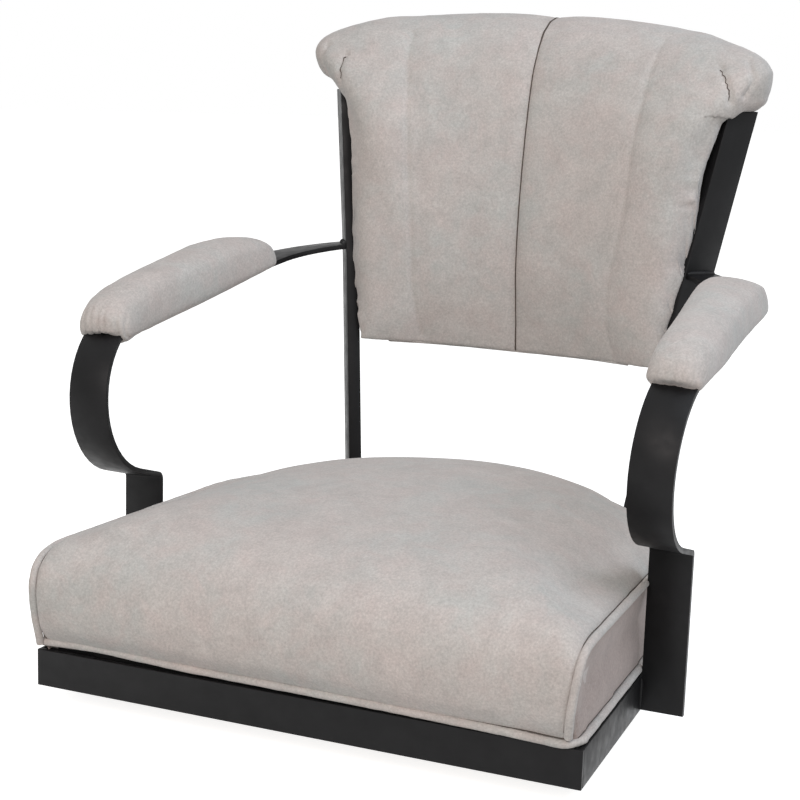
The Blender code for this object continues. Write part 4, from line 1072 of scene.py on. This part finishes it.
def base_welt_line():
    """The line of the lower welt, all round on the rail, with its lifted front."""
    inset, left_inset = 0.0034, 0.0012
    radius, left_radius = 0.0130, 0.0060
    y = FRONT_Y + 0.0046
    right = half_width(y, inset) - radius
    left = half_width(y, left_inset) - left_radius
    line = []

    def front_corner(x, radius, quarter, wave):
        for step in range(1, 6):
            turn = (step / 6 + quarter) * math.pi / 2
            fade = step / 6 if quarter > 0 else 1 - step / 6
            line.append((
                x + radius * math.cos(turn),
                y + radius + radius * math.sin(turn) + wave[2] * fade,
                WELT_Z + wave[1] * fade + SIDE_DROP * (1 - fade)))

    for share in (-1 + step / 12 for step in range(25)):
        lift, shift = (column(FRONT_WAVE, share, part) for part in (1, 2))
        line.append(((left if share < 0 else right) * share, y + shift, WELT_Z + lift))
    front_corner(right, radius, -1, FRONT_WAVE[-1])
    long, left_long = BEND_Y - y - radius - 0.01, BEND_Y - y - left_radius - 0.01
    rest = side_line(1, y + radius + np.linspace(0, long, 12), inset) + round_back(inset)
    rest += side_line(-1, y + left_radius + np.linspace(left_long, 0.012, 12), inset)
    line += [(x, back, WELT_Z + SIDE_DROP) for x, back in rest]
    front_corner(-left, left_radius, 2, FRONT_WAVE[0])
    return smooth_line(line, True, 0.004)


def top_welt_line():
    """The line of the upper welt: up a front corner, round the top and down the other."""
    sides = []
    for corner, sign in ((RIGHT_CORNER, 1), (LEFT_CORNER, -1)):
        side = [(sign * half_width(FRONT_Y + back, inset), FRONT_Y + back,
                 CUSHION_LOW.z + height) for height, back, inset in corner]
        seam, inset = side[-1][2], corner[-1][2]
        start = side[-1][1] + 0.03
        side += [(x, y, seam - 0.0025 * (y - start) / (BEND_Y - start))
                 for x, y in side_line(sign, np.linspace(start, BEND_Y - 0.01, 8), inset)]
        sides.append(side)
    right, left = sides
    middle = (right[-1][2] + left[-1][2]) / 2
    tilt = (right[-1][2] - left[-1][2]) / 2 / HALF_BEND
    back = [
        (x0 + (x1 - x0) * share, y0 + (y1 - y0) * share, middle + tilt * x0)
        for (x0, y0), (x1, y1), share in zip(
            round_back(RIGHT_CORNER[-1][2]), round_back(LEFT_CORNER[-1][2]),
            np.linspace(0, 1, 29))]
    return smooth_line(right + back + left[::-1], False, 0.004)


def drawn_to(obj, line, height, reach):
    """Draws a cushion's surface out or in until a line stands at a height over it."""
    for _ in range(2):
        tree = tree_over(obj)
        laid = [tree.find_nearest(point)[:2] for point in line]
        near = tree_of_points([place for place, _ in laid])
        pulls = np.array([
            list(normal * ((point - place).dot(normal) - height))
            for point, (place, normal) in zip(line, laid)])
        for _ in range(3):
            padded = np.vstack([pulls[:1], pulls, pulls[-1:]])
            pulls = (padded[:-2] + padded[1:-1] + padded[2:]) / 3
        found = places(obj.data)
        move = np.zeros_like(found)
        for index, point in enumerate(found):
            _, closest, distance = near.find(point)
            if distance < reach:
                move[index] = pulls[closest] * (1 - (distance / reach) ** 2) ** 2
        set_places(obj.data, found + averaged(obj.data, move, 2))


def evened(line, rounds, closed):
    """A line of points, each evened out with the points before and after it."""
    found = np.array([list(point) for point in line])
    for _ in range(rounds):
        before, after = np.roll(found, 1, axis=0), np.roll(found, -1, axis=0)
        if not closed:
            before[0], after[-1] = found[0], found[-1]
        found = (before + 2 * found + after) / 4
    return found


def beside(obj, line, distance, middle, closed):
    """A line on a piece's surface that runs beside another, on the side of a middle point."""
    tree = tree_over(obj)
    sides = []
    for index, point in enumerate(line):
        along = (line[min(index + 1, len(line) - 1)] - line[max(index - 1, 0)]).normalized()
        place, normal, _, _ = tree.find_nearest(point)
        side = normal.cross(along).normalized()
        sides.append(side if side.dot(middle - place) > 0 else -side)
    laid = []
    for point, side in zip(line, evened(sides, 12, closed)):
        place = tree.find_nearest(point)[0] + Vector(side).normalized() * distance
        laid.append(tree.find_nearest(place)[0])
    laid = [tree.find_nearest(Vector(point)) for point in evened(laid, 6, closed)]
    return [place + normal * 0.0001 for place, normal, _, _ in laid]


def tucked_hem(found, foot):
    """Turns the cushion's hem in and down behind the lower welt, over the board's edge."""
    low = ramp(foot + 0.016 - found[:, 2], 0.016)
    inset = inside_frame(found)
    step = 0.0005
    inward = np.stack([
        inside_frame(found + np.array(way) * step) - inset for way in ((1, 0, 0), (0, 1, 0))], 1)
    inward /= np.maximum(np.linalg.norm(inward, axis=1), 1e-9)[:, None]
    near = ramp(0.0150 - inset, 0.004)
    reach = np.where(found[:, 1] < FRONT_Y + 0.02, np.interp(
        found[:, 0], (-0.24, 0.0, 0.12), (0.0092, 0.0085, 0.0058)), 0.0054)
    found[:, :2] += inward * (low ** 1.6 * near * np.maximum(reach - inset, 0))[:, None]
    found[:, 2] -= np.interp(reach, (0.0054, 0.0092), (0.0130, 0.0100)) * low * near
    return found


def hem_shade_band(low, high):
    """A band of black cloth round the board under the welt, where the cover turns in: painted
    shade for the dark gap above the rail.
    """
    plan = []
    for inset in (0.0084, 0.0092):
        y = FRONT_Y + inset
        x = half_width(y, inset)
        depths = y + np.linspace(0.008, BEND_Y - y - 0.005, 20)
        plan.append(
            [(x * share, y) for share in np.linspace(-0.97, 0.97, 30)]
            + side_line(1, depths, inset) + round_back(inset) + side_line(-1, depths[::-1], inset))
    bm = bmesh.new()
    rows = []
    for (x0, y0), (x1, y1) in zip(*plan):
        rows.append([bm.verts.new(place) for place in (
            (x0, y0, low), (x0, y0, high), (x1, y1, high), (x1, y1, low))])
    for index, row in enumerate(rows):
        ahead = rows[(index + 1) % len(rows)]
        for side in range(4):
            after = (side + 1) % 4
            bm.faces.new((row[side], ahead[side], ahead[after], row[after]))
    return solid_mesh(bm, "hem band")


class STOOL_OT_seat(Operator):
    """Makes the seat cushion, swollen by its foam and drawn in at its welts"""

    bl_idname = "stool.seat"
    bl_label = "Seat Cushion"

    def execute(self, context):
        settings = context.scene.stool_cushion
        welts = context.scene.stool_welt
        foot = CUSHION_LOW.z

        def held(point):
            return point.z < foot + 0.004

        cushion = soft_form(
            "seat_cushion_cover", merged_copy("seat_cushion"), settings.seat_voxel, held,
            settings, fabric_material())
        found = places(cushion.data)
        high = ramp(found[:, 2] - foot - 0.030, 0.050)
        back = ramp(found[:, 1] - FRONT_Y - 0.10, 0.16)
        found[:, 2] += column(SEAT_FILL, found[:, 0]) * high * back
        set_places(cushion.data, found)
        line = top_welt_line()
        drawn_to(cushion, line, welts.radius * 0.55, 0.034)
        pulled_in(cushion, on_surface(cushion, line), 0.007, welts.groove)
        set_places(cushion.data, tucked_hem(places(cushion.data), foot))
        self.paint_boxing_shade(cushion, line)
        declare(cushion, "seat", "nubuck_fabric", "seat_cushion")
        return {"FINISHED"}

    def paint_boxing_shade(self, cushion, line):
        """Marks the side panels below the upper welt, which get the darker, pinker side colour as
        painted shade.
        """
        tree = tree_of_points(line)
        marks = cushion.data.attributes.new("boxing", "FLOAT", "POINT")
        values = []
        for point in places(cushion.data):
            closest = tree.find(point)[0]
            below = closest.z - point[2] + (point[1] - closest.y)
            front = point[1] < FRONT_Y + 0.03 and abs(point[0]) < abs(closest.x) - 0.005
            values.append(0.0 if front else min(max(below / 0.004, 0), 1))
        marks.data.foreach_set("value", values)


class STOOL_OT_welts(Operator):
    """Sews the two covered cords round the foot and the top of the seat cushion"""

    bl_idname = "stool.welts"
    bl_label = "Seat Welts"

    def execute(self, context):
        welts = context.scene.stool_welt
        cushion = bpy.data.objects["seat_cushion_cover"]
        fabric = fabric_material()
        foot, line = base_welt_line(), top_welt_line()
        for name, path, closed, node in (
                ("seat_base_welt_cord", foot, True, "seat_base_welt"),
                ("seat_top_welt_cord", line, False, "seat_top_welt")):
            sewn_cord(name, [(path, closed)], welts.radius, 16, 0.06, 0.012, fabric, node)
        middle = Vector((0, (FRONT_Y + REAR_Y) / 2, CUSHION_HIGH.z))
        above = [point + Vector((0, 0, welts.radius)) for point in foot]
        # Dark threads beside the two welts: painted shade for the shadow of the seams there
        seam_shade_lines = [(beside(cushion, line, welts.radius * 0.92, middle, False), False),
                 (beside(cushion, above, 0.0002, middle, True), True)]
        sewn_cord("seat_welt_seams", seam_shade_lines, 0.0004, 8, 0.10, 0.004, seam_shade_material())
        # Painted shade: a black band under the lower welt darkens the gap above the rail
        hem = new_piece("seat_hem", hem_shade_band(CUSHION_LOW.z - 0.0135, CUSHION_LOW.z + 0.0025))
        use_material(hem, shared("black lining cloth", shade_cloth, linear("#1A1A1A")))
        declare(hem, "seat", "nubuck_fabric")
        return {"FINISHED"}


# The back

# The sewn channels of the back, from the roll down to the lower edge: across, and height
LEFT_CHANNEL = (
    (-0.134, 0.580), (-0.131, 0.555), (-0.119, 0.495), (-0.112, 0.436), (-0.106, 0.375),
    (-0.104, 0.326), (-0.100, 0.293), (-0.097, 0.276))
RIGHT_CHANNEL = (
    (0.129, 0.583), (0.126, 0.563), (0.120, 0.512), (0.116, 0.424), (0.105, 0.360),
    (0.102, 0.312), (0.108, 0.280), (0.109, 0.272))
# Pleats that take up the fabric at the ends of the roll: across, and height
PLEATS = (
    ((0.195, 0.560), (0.200, 0.552), (0.208, 0.540), (0.210, 0.528)),
    ((0.219, 0.568), (0.224, 0.560), (0.228, 0.547), (0.222, 0.534)),
    ((-0.195, 0.556), (-0.198, 0.546), (-0.196, 0.530)),
    ((-0.220, 0.564), (-0.225, 0.550), (-0.221, 0.537)))
# How the filling of the back differs from its pattern: place across, and lift
ROLL_FILL = (
    (-0.24, 0.0010), (-0.18, 0.0025), (-0.05, 0.0030), (0.03, 0.0025), (0.09, 0.0010),
    (0.13, 0.0), (0.16, -0.0020), (0.19, -0.0045), (0.24, -0.0040))
# The fuller right side of the back, which reaches the upright: height, and extra width
SIDE_FILL = (
    (0.28, 0.0030), (0.36, 0.0045), (0.45, 0.0055), (0.50, 0.0080), (0.53, 0.0040), (0.56, 0.0))
# The lower edge of the back, sewn straight: place across, and height
HEM_LINE = (
    (-0.18, 0.2690), (-0.12, 0.2670), (-0.05, 0.2655), (0.0, 0.2645), (0.05, 0.2660),
    (0.10, 0.2675), (0.14, 0.2690), (0.18, 0.2715))


class STOOL_OT_back(Operator):
    """Makes the back cushion with its rolled top and sewn channels, and the back's cover"""

    bl_idname = "stool.back"
    bl_label = "Back Cushion"

    def execute(self, context):
        settings = context.scene.stool_cushion
        welts = context.scene.stool_welt
        fabric = fabric_material()
        board = surface_of("back_board", "left_upright", "right_upright")

        def held(point):
            return board.find_nearest(point)[3] < 0.0045

        cushion = soft_form(
            "back_cushion_cover", merged_copy("back_cushion"), settings.back_voxel, held,
            settings, fabric)
        found = places(cushion.data)
        high = ramp(found[:, 2] - 0.46, 0.08)
        found[:, 2] += high * column(ROLL_FILL, found[:, 0])
        found = self.straight_hem(found)
        across = found[:, 0].copy()
        edge = ramp(across - 0.10, 0.06)
        found[:, 0] += edge * column(SIDE_FILL, found[:, 2])
        found = self.straight_sides(found)
        under = ramp(0.556 - found[:, 2], 0.020) * (found[:, 2] > 0.515)
        found[:, 0] -= 0.0075 * under * ramp(across - 0.212, 0.02)
        found[:, 0] += 0.0030 * under * ramp(-across - 0.212, 0.02)
        found[:, 2] -= 0.0030 * under * ramp(across - 0.17, 0.03)
        set_places(cushion.data, found)
        for channel in (LEFT_CHANNEL, RIGHT_CHANNEL):
            crease = on_surface(cushion, smooth_line(in_front(cushion, channel), False, 0.003))
            for reach in (0.022, 0.0060):
                pulled_in(cushion, crease, reach, 0.0020)
        folds = []
        for pleat in PLEATS:
            fold = on_surface(cushion, smooth_line(in_front(cushion, pleat), False, 0.003))
            pulled_in(cushion, fold, 0.0075, 0.0034)
            folds.append(on_surface(cushion, evened(fold, 4, False)))
        line = self.middle_seam(cushion, board, welts.seam)
        thread = seam_shade_material()
        # Painted shade: dark threads along one pleat at each end of the roll, for the shadow in
        # the pleat's crease
        fold_shade_lines = [(fold, False) for fold in folds[::2]]
        # The middle seam's dark thread is painted shade for the shadow in the seam
        sewn_cord("back_middle_seam", [(line, False)], 0.0011, 8, 0.10, 0.004, thread)
        sewn_cord("back_pleat_seams", fold_shade_lines, 0.0005, 8, 0.30, 0.006, thread)
        hem = [(self.hem_fold(cushion), False)]
        sewn_cord("back_hem_fold", hem, 0.0024, 12, 0.05, 0.02, fabric)
        declare(cushion, "seat", "nubuck_fabric", "back_cushion")
        wrap = merged_copy("back_board")
        wrap.normal_update()
        for vertex in wrap.verts:
            vertex.co += vertex.normal * 0.0016
        wrapped = new_piece("back_board_wrap", mesh_from(wrap, "wrap"))
        use_material(wrapped, fabric)
        declare(rounded_edges(wrapped, 0.0018, 3), "seat", "nubuck_fabric")
        cover = dressed("back_cover", "seat", "nubuck_fabric", fabric, 0.0013, 3)
        return {"FINISHED"}

    def straight_hem(self, found):
        """Brings the lower edge, which the even mesh leaves uneven, to its sewn line."""
        across = np.arange(-0.180, 0.181, 0.004)
        lowest = [found[np.abs(found[:, 0] - x) < 0.003, 2].min() for x in across]
        low = np.interp(found[:, 0], across, lowest)
        hem = column(HEM_LINE, found[:, 0])
        share = np.clip(1 - (found[:, 2] - low) / 0.030, 0, 1)
        found[:, 2] += (hem - low) * share
        above = np.maximum(found[:, 2] - hem - 0.0008, 0)
        found[:, 2] = hem + 0.0008 + above * ramp(above, 0.006)
        return found

    def straight_sides(self, found):
        """Evens the two sides, which the even mesh leaves uneven beside the uprights."""
        heights = np.arange(0.270, 0.505, 0.004)
        for sign in (-1, 1):
            outer = np.array([
                (sign * found[np.abs(found[:, 2] - z) < 0.003, 0]).max() for z in heights])
            even = np.convolve(np.pad(outer, 6, mode="edge"), np.full(13, 1 / 13), mode="valid")
            level = ramp(0.515 - found[:, 2], 0.02)
            edge = np.interp(found[:, 2], heights, outer)
            share = np.clip(1 - (edge - sign * found[:, 0]) / 0.020, 0, 1) * level
            found[:, 0] += sign * np.interp(found[:, 2], heights, even - outer) * share
            edge = np.interp(found[:, 2], heights, even)
            inside = edge - sign * found[:, 0]
            drawn = np.maximum(inside, 0) * ramp(inside, 0.006)
            found[:, 0] = sign * (edge - inside - (drawn - inside) * level)
        return found

    def hem_fold(self, cushion):
        """The line of the folded lower edge, along the lowest of the cushion."""
        found = places(cushion.data)
        line = []
        for x in np.arange(-0.172, 0.173, 0.004):
            height = column(HEM_LINE, x)
            near = found[(np.abs(found[:, 0] - x) < 0.005) & (found[:, 2] < height + 0.0035)]
            line.append((x, np.median(near[:, 1]), height + 0.0018))
        return evened(line, 8, False)

    def middle_seam(self, cushion, board, depth):
        """Sews the middle seam: cuts close rows of points along it and pulls them in."""
        bm = bmesh.new()
        bm.from_mesh(cushion.data)
        for x in (-0.007, -0.0045, -0.0025, -0.0011, 0.0, 0.0011, 0.0025, 0.0045, 0.007):
            bmesh.ops.bisect_plane(
                bm, geom=bm.verts[:] + bm.edges[:] + bm.faces[:], dist=1e-5,
                plane_co=(x, 0, 0), plane_no=(1, 0, 0))
        bm.normal_update()
        middle = [v for v in bm.verts if abs(v.co.x) < 2e-5]
        free = {v for v in middle if board.find_nearest(v.co)[3] > 0.005}
        for vertex in bm.verts:
            away = abs(vertex.co.x)
            if away > 0.014:
                continue
            clear = board.find_nearest(vertex.co)[3]
            hold = min(max((clear - 0.004) / 0.012, 0), 1)
            crown = min(max((0.588 - vertex.co.z) / 0.020, 0.25), 1)
            dip = depth * hold * crown * math.exp(-away / 0.0030)
            inward = vertex.normal.copy()
            inward.x = 0
            vertex.co -= inward.normalized() * dip
        start = min(free, key=lambda v: (v.co.z, v.co.y))
        line, seen = [], set()
        vertex = start
        while vertex is not None:
            seen.add(vertex)
            line.append(vertex.co.copy())
            ahead = [edge.other_vert(vertex) for edge in vertex.link_edges]
            ahead = [other for other in ahead if other in free and other not in seen]
            vertex = max(ahead, key=lambda v: v.co.z - v.co.y) if ahead else None
        bm.to_mesh(cushion.data)
        bm.free()
        use_material(cushion, cushion.data.materials[0])
        return line


# The arm pads

# The filling of the pads, each by hand: share of its length from the front, and its extra
# width, height and depth there
PAD_FILL = {
    "left": (
        (0.00, 0.0, 0.0025, 0.0050), (0.20, 0.0, 0.0030, 0.0060), (0.35, 0.0022, 0.0045, 0.0045),
        (0.50, 0.0045, 0.0060, 0.0030), (0.67, 0.0080, 0.0080, 0.0005),
        (0.82, 0.0110, 0.0065, -0.0020), (1.00, 0.0120, 0.0030, -0.0040)),
    "right": (
        (0.00, -0.0030, 0.0040, -0.0030), (0.20, -0.0020, 0.0040, 0.0000),
        (0.35, -0.0005, 0.0045, 0.0020), (0.50, 0.0015, 0.0050, 0.0015),
        (0.67, 0.0040, 0.0065, 0.0005), (0.82, 0.0080, 0.0080, -0.0010),
        (1.00, 0.0150, 0.0075, -0.0020))}
PAD_REACH = {"left": 0.0065, "right": -0.0070}


class STOOL_OT_arm_pads(Operator):
    """Makes the arm pads, gathered over their front ends"""

    bl_idname = "stool.arm_pads"
    bl_label = "Arm Pads"

    def execute(self, context):
        settings = context.scene.stool_cushion
        fabric = fabric_material()
        for side, _ in SIDES:
            node = f"{side}_arm_pad"
            inside = surface_of(f"{side}_arm_strap", f"{side}_pad_board")
            skin, mouth = self.outer_skin(node, inside)

            def held(point):
                return inside.find_nearest(point)[3] < 0.003

            pad = soft_form(
                f"{side}_arm_pad_cover", skin, settings.pad_voxel, held, settings, fabric)
            self.fill_out(pad, PAD_FILL[side], PAD_REACH[side])
            self.gather(pad, mouth, settings.gathers)
            declare(pad, "seat", "nubuck_fabric", node)
        return {"FINISHED"}

    def fill_out(self, pad, table, forward):
        """Fills the pad out as listed: wider and higher to the rear, fuller at the front."""
        found = places(pad.data)
        along = found[:, 1]
        share = (along - along.min()) / (along.max() - along.min())
        line = np.polynomial.Polynomial.fit(along, found[:, 0], 2)(along)
        rise = np.polynomial.Polynomial.fit(along, found[:, 2], 3)(along)
        sign = np.sign(found[:, 0].mean())
        outer = ramp(sign * (found[:, 0] - line), 0.020)
        upper = ramp(found[:, 2] - rise, 0.010)
        lower = ramp(rise - found[:, 2], 0.010)
        width, height, depth = (column(table, share, part) for part in (1, 2, 3))
        found[:, 0] += sign * width * outer
        found[:, 2] += height * upper - depth * lower
        front = np.clip(1 - share / 0.5, 0, 1) ** 1.5
        found[:, 1] -= forward * front
        found[:, 2] += max(-forward, 0) * 0.6 * front
        set_places(pad.data, found)
        relaxed(pad, 2)

    def outer_skin(self, node, inside):
        """The pad's outside without its pocket for the strap and board, and its front mouth."""
        bm = merged_copy(node)
        pocket = [
            face for face in bm.faces
            if all(inside.find_nearest(v.co)[3] < 0.0006 for v in face.verts)]
        bmesh.ops.delete(bm, geom=pocket, context="FACES")
        rims = [edge for edge in bm.edges if edge.is_boundary]
        points = np.array([list(v.co) for edge in rims for v in edge.verts])
        front = points[points[:, 1] < (points[:, 1].min() + points[:, 1].max()) / 2]
        middle = front.mean(0)
        _, _, ways = np.linalg.svd(front - middle, full_matrices=False)
        out = Vector(ways[2])
        if out.y > 0:
            out = -out
        across = Vector(ways[0])
        bmesh.ops.holes_fill(bm, edges=rims)
        bmesh.ops.recalc_face_normals(bm, faces=bm.faces)
        return bm, (Vector(middle), out, across, out.cross(across))

    def gather(self, pad, mouth, count):
        """Gathers the fabric over the pad's front end and tucks it in round the strap."""
        middle, out, across, up = mouth
        found = places(pad.data)
        outward = normals(pad.data)
        wide = 0.045
        for index, point in enumerate(found):
            offset = Vector(point) - middle
            back = -offset.dot(out)
            if back > 0.020:
                continue
            side = offset.dot(across)
            fade = (1 - max(back, 0) / 0.020) ** 1.2
            turn = math.pi * (side / wide * count + 0.8 * noise.noise(Vector((side * 90, 3.7, 0))))
            crease = (1 - abs(math.sin(turn))) ** 2
            found[index] += outward[index] * (0.0006 - 0.0020 * crease) * fade
            inset = max(0.0, 1 - abs(side) / 0.024) * max(0.0, 1 - abs(offset.dot(up)) / 0.009)
            if back < 0.012:
                found[index] -= np.array(out) * 0.0085 * inset * (1 - max(back, 0) / 0.012)
        set_places(pad.data, found)


# The stage

def floor_material():
    """A plain pale floor: matt paper that shows white, and keeps the soft shadow."""
    material, tree, coords = new_material("pale floor")
    fibre = grain(tree, 0.004, coords, 3.0)
    white, off_white = linear("#DCDCDA"), linear("#D8D8D6")
    paper = add_node(tree, "ShaderNodeBsdfDiffuse", {
        "Color": blend_colour(tree, fibre, white, off_white)})
    strength = math_node(tree, "MULTIPLY", camera_sees(tree), 0.86)
    glow = add_node(tree, "ShaderNodeEmission", {"Color": (1, 1, 1), "Strength": strength})
    both = add_node(tree, "ShaderNodeAddShader", {0: paper.outputs[0], 1: glow.outputs[0]})
    add_node(tree, "ShaderNodeOutputMaterial", {"Surface": both.outputs[0]})
    return material


def soft_light(name, place, aim, width, power, colour):
    """A square soft light turned towards a point."""
    light = configured(bpy.data.lights.new(name, "AREA"), shape="SQUARE", size=width,
                       energy=power, color=colour)
    turn = (Vector(aim) - Vector(place)).to_track_quat("-Z", "Y").to_euler()
    return configured(new_piece(name, light), location=place, rotation_euler=turn)


CAMERA_PLACE = (0.6830, -1.6018, 0.6230)
CAMERA_TURN, CAMERA_TILT, CAMERA_ROLL = (math.radians(angle) for angle in (23.244, 12.469, 1.870))
CAMERA_SHIFT = (-0.0074, 0.0316)
FLOOR_RADIUS = 8.0


class STOOL_OT_stage(Operator):
    """Sets the camera, the floor, the lights and the white surroundings"""

    bl_idname = "stool.stage"
    bl_label = "Stage"

    def execute(self, context):
        settings = context.scene.stool_stage
        scene = context.scene
        turn, tilt, roll = CAMERA_TURN, CAMERA_TILT, CAMERA_ROLL
        ahead = Vector((-math.sin(turn) * math.cos(tilt), math.cos(turn) * math.cos(tilt),
                        -math.sin(tilt)))
        level = Vector((math.cos(turn), math.sin(turn), 0))
        above = level.cross(ahead)
        right = math.cos(roll) * level + math.sin(roll) * above
        up = -math.sin(roll) * level + math.cos(roll) * above
        camera = new_piece("camera", bpy.data.cameras.new("camera"))
        place = Matrix((right, up, -ahead)).transposed().to_4x4()
        place.translation = CAMERA_PLACE
        camera.matrix_world = place
        configured(camera.data, sensor_width=36, lens=settings.focal, shift_x=CAMERA_SHIFT[0],
                   shift_y=CAMERA_SHIFT[1])
        scene.camera = camera

        bm = bmesh.new()
        bmesh.ops.create_circle(bm, cap_ends=True, radius=FLOOR_RADIUS, segments=64)
        floor = new_piece("floor", mesh_from(bm, "floor"))
        use_material(floor, floor_material())

        world = bpy.data.worlds.new("white surroundings")
        scene.world = world
        world.use_nodes = True
        tree = world.node_tree
        tree.nodes.clear()
        strength = add_node(tree, "ShaderNodeMapRange", {
            "Value": camera_sees(tree), "To Min": settings.daylight, "To Max": 1.0,
        }).outputs["Result"]
        sky = add_node(tree, "ShaderNodeBackground", {"Color": (1, 1, 1), "Strength": strength})
        add_node(tree, "ShaderNodeOutputWorld", {"Surface": sky.outputs[0]})

        soft_light("key light", (1.5, -0.1, 2.2), (0, 0, 0.25), 1.6, settings.key,
                   linear("#E6F1FF"))
        soft_light("fill light", (0.2, -2.2, 1.65), (0, 0, 0.30), 1.2, settings.fill,
                   linear("#FFF4F0"))
        scene.view_settings.view_transform = "Standard"
        return {"FINISHED"}


class STOOL_PT_pieces(Panel):
    """Lists the pieces of the stool"""

    bl_idname = "STOOL_PT_pieces"
    bl_label = "Counter Stool"
    bl_space_type = "VIEW_3D"
    bl_region_type = "UI"
    bl_category = "Stool"

    def draw(self, context):
        for title, settings, operators in SECTIONS:
            box = self.layout.box()
            box.label(text=title)
            group = getattr(context.scene, settings)
            for key in group.__annotations__:
                box.prop(group, key)
            for operator in operators:
                box.operator(operator.bl_idname)


SECTIONS = (
    ("Steel", "stool_steel", (
        STOOL_OT_steelwork, STOOL_OT_swivel, STOOL_OT_boards, STOOL_OT_fasteners, STOOL_OT_welds)),
    ("Fabric", "stool_fabric", ()),
    ("Cushions", "stool_cushion", (STOOL_OT_seat, STOOL_OT_back, STOOL_OT_arm_pads)),
    ("Welts", "stool_welt", (STOOL_OT_welts,)),
    ("Stage", "stool_stage", (STOOL_OT_stage,)),
)
GROUPS = (
    ("stool_fabric", FabricSettings), ("stool_steel", SteelSettings),
    ("stool_cushion", CushionSettings), ("stool_welt", WeltSettings),
    ("stool_stage", StageSettings))
OPERATORS = (
    STOOL_OT_steelwork, STOOL_OT_swivel, STOOL_OT_boards, STOOL_OT_fasteners, STOOL_OT_welds,
    STOOL_OT_seat, STOOL_OT_welts, STOOL_OT_back, STOOL_OT_arm_pads, STOOL_OT_stage)


def register():
    for name, group in GROUPS:
        bpy.utils.register_class(group)
        setattr(bpy.types.Scene, name, PointerProperty(type=group))
    for operator in OPERATORS:
        bpy.utils.register_class(operator)
    bpy.utils.register_class(STOOL_PT_pieces)


def unregister():
    bpy.utils.unregister_class(STOOL_PT_pieces)
    for operator in reversed(OPERATORS):
        bpy.utils.unregister_class(operator)
    for name, group in reversed(GROUPS):
        delattr(bpy.types.Scene, name)
        bpy.utils.unregister_class(group)


def main():
    """Makes every piece in order."""
    register()
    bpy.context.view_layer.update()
    bpy.ops.stool.stage()
    bpy.ops.stool.steelwork()
    bpy.ops.stool.swivel()
    bpy.ops.stool.boards()
    bpy.ops.stool.fasteners()
    bpy.ops.stool.welds()
    bpy.ops.stool.seat()
    bpy.ops.stool.welts()
    bpy.ops.stool.back()
    bpy.ops.stool.arm_pads()


if __name__ == "__main__":
    main()
